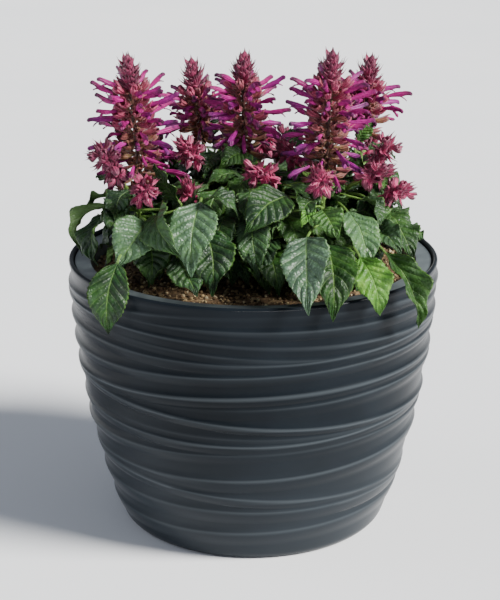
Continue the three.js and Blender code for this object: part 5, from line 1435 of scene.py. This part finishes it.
def grownPlant(k, plant):
    # a plant's stems, the places on them where leaves may spring, and its leaves, found on its solid or loose
    stems, tree = stemsOf(plant), vertexTree(f"plant_{k + 1}")
    places = np.concatenate([one["line"] for one in stems])
    listed = [findLeaf(row, leaf["rings"], places, tree) for row in plant["leaves"]]
    spare, fill = [], leaf["fill"]
    for i, one in enumerate(stems[:len(plant["buds"]) + 1]):
        pair = pairAt(one["line"][-leaf["pairNode"]], leaf["pairSeed"] + 100 * k + 10 * i, leaf["pairSize"])
        spare += [findLeaf(row, leaf["spareRings"], places, tree) for row in pair]
    for i, one in enumerate(stems if k < fill["plants"] else []):
        for back in fill["nodes"]:
            node, seed = one["line"][-back], fill["seed"] + 1000 * k + 100 * i + 3 * back
            if node[2] > fill["above"]:
                spare += [looseLeaf(row, node) for row in pairAt(node, seed, fill["size"])]
    return {"stems": stems, "places": places, "tree": tree, "listed": listed, "spare": spare}


def addTiers(grown):
    # each leaf of the tiers goes to the plant whose stems suit its stalk best
    for rows, seed in ((tiers, leaf["tierSeed"]), (innerTiers, leaf["innerSeed"])):
        for row in tierLeaves(rows, seed):
            costs = [springCosts(each["places"], np.array(row[0]), np.array(row[1]), 0) for each in grown]
            best = int(np.argmin([cost.min() for cost in costs]))
            each = grown[best]
            if rows is tiers:
                each["spare"].append(findLeaf(row, leaf["spareRings"], each["places"], each["tree"]))
            else:
                each["spare"].append(looseLeaf(row, each["places"][np.argmin(costs[best])]))


def dressPlant(k, each):
    # a plant's leaves, the broad listed ones of finer detail, and its stems
    node, made = f"plant_{k + 1}", {"fine": [], "plain": []}
    for kind, offset in (("listed", 0), ("spare", 5)):
        for i, blade in enumerate(each[kind]):
            if not blade:
                continue
            seed, detail = 300000 + 1000 * k + 10 * i + offset, "plain"
            tone, wax = mix(*leaf["drawnTone"], draw(seed + 9)), leaf["drawnWaxAndSheen"] * draw(seed + 8)
            if kind == "listed":
                tone, wax = leaf["tones"].get((k, i), tone), leaf["wax"].get((k, i), wax)
                if (k, i) in leaf["folded"]:
                    blade["fold"] = np.radians(leaf["folded"][k, i])
                blade["width"] *= leaf["withered"].get((k, i), 1)
                detail = "fine" if blade["width"] >= fineLeaf["fineFrom"] else "plain"
            made[detail].append(leafTube(blade, fineLeaf[detail], seed, tone, wax))
        print(node, kind, "leaves made:", sum(map(bool, each[kind])), "of", len(each[kind]))
    makePiece(f"leaves_{k + 1}", made["fine"] + made["plain"], materials["leaf"], "foliage", node)
    makePiece(f"stems_{k + 1}", [one["tube"] for one in each["stems"]], materials["stem"], "foliage", node)


grownPlants = [grownPlant(k, plant) for k, plant in enumerate(plants)]
addTiers(grownPlants)
for k, each in enumerate(grownPlants):
    dressPlant(k, each)
print("stems and leaves made")


# floor, light and camera

studio = {"floorRadius": 14.0, "floorSides": 96, "floor": "#f6f7fa", "world": "#dfe8f6", "worldStrength": 0.3}


def makeFloor():
    # a wide round of matt paper under the pot
    angle = roundTurn(studio["floorSides"])
    corners = studio["floorRadius"] * np.stack([np.cos(angle), np.sin(angle), np.zeros(len(angle))], -1)
    mesh = bpy.data.meshes.new("studio_floor")
    mesh.from_pydata(corners.tolist(), [], [list(range(len(angle)))])
    material, tree, place = newMaterial("matt_paper")
    cloud = addNode(tree, "TexNoise", {"Scale": 2.0, "Detail": 2.0}, {"Vector": place})
    stops = [(0.3, "#f2f4f8"), (0.7, studio["floor"])]
    colour = addNode(tree, "ValToRGB", {"stops": stops}, {0: cloud})
    mesh.materials.append(surface(material, {"Roughness": 0.9}, colour))
    floor = bpy.data.objects.new("studio_floor", mesh)
    bpy.context.scene.collection.objects.link(floor)


makeFloor()
# a broad light from the right and a weak one from low on the left: where from, degrees wide, strength and
# colour
lights = {"key_light": [(1.0, -0.42, 0.85), 20, 9.0, "#fffdf8"],
          "fill_light": [(-1.0, 0.05, 0.3), 60, 0.9, "#eef3ff"]}
for name, (source, width, strength, colour) in lights.items():
    lamp = bpy.data.lights.new(name, "SUN")
    lamp.angle, lamp.energy, lamp.color = np.radians(width), strength, linear(colour)[:3]
    lampBody = bpy.data.objects.new(name, lamp)
    lampBody.rotation_euler = (-Vector(source)).to_track_quat("-Z", "Y").to_euler()
    bpy.context.scene.collection.objects.link(lampBody)
world = bpy.data.worlds.new("studio_world")
world.use_nodes = True
background = world.node_tree.nodes["Background"]
background.inputs["Color"].default_value = linear(studio["world"])
background.inputs["Strength"].default_value = studio["worldStrength"]
bpy.context.scene.world = world

camera = {"place": (-0.003, -1.456, 0.684), "pitch": 0.3137, "lens": 95.33}
lens = bpy.data.cameras.new("camera")
lens.lens, lens.sensor_width, lens.clip_end = camera["lens"], 36.0, 60.0
viewer = bpy.data.objects.new("camera", lens)
viewer.location = camera["place"]
viewer.rotation_euler = (np.pi / 2 - camera["pitch"], 0.0, 0.0)
bpy.context.scene.collection.objects.link(viewer)
bpy.context.scene.camera = viewer
print("studio made")
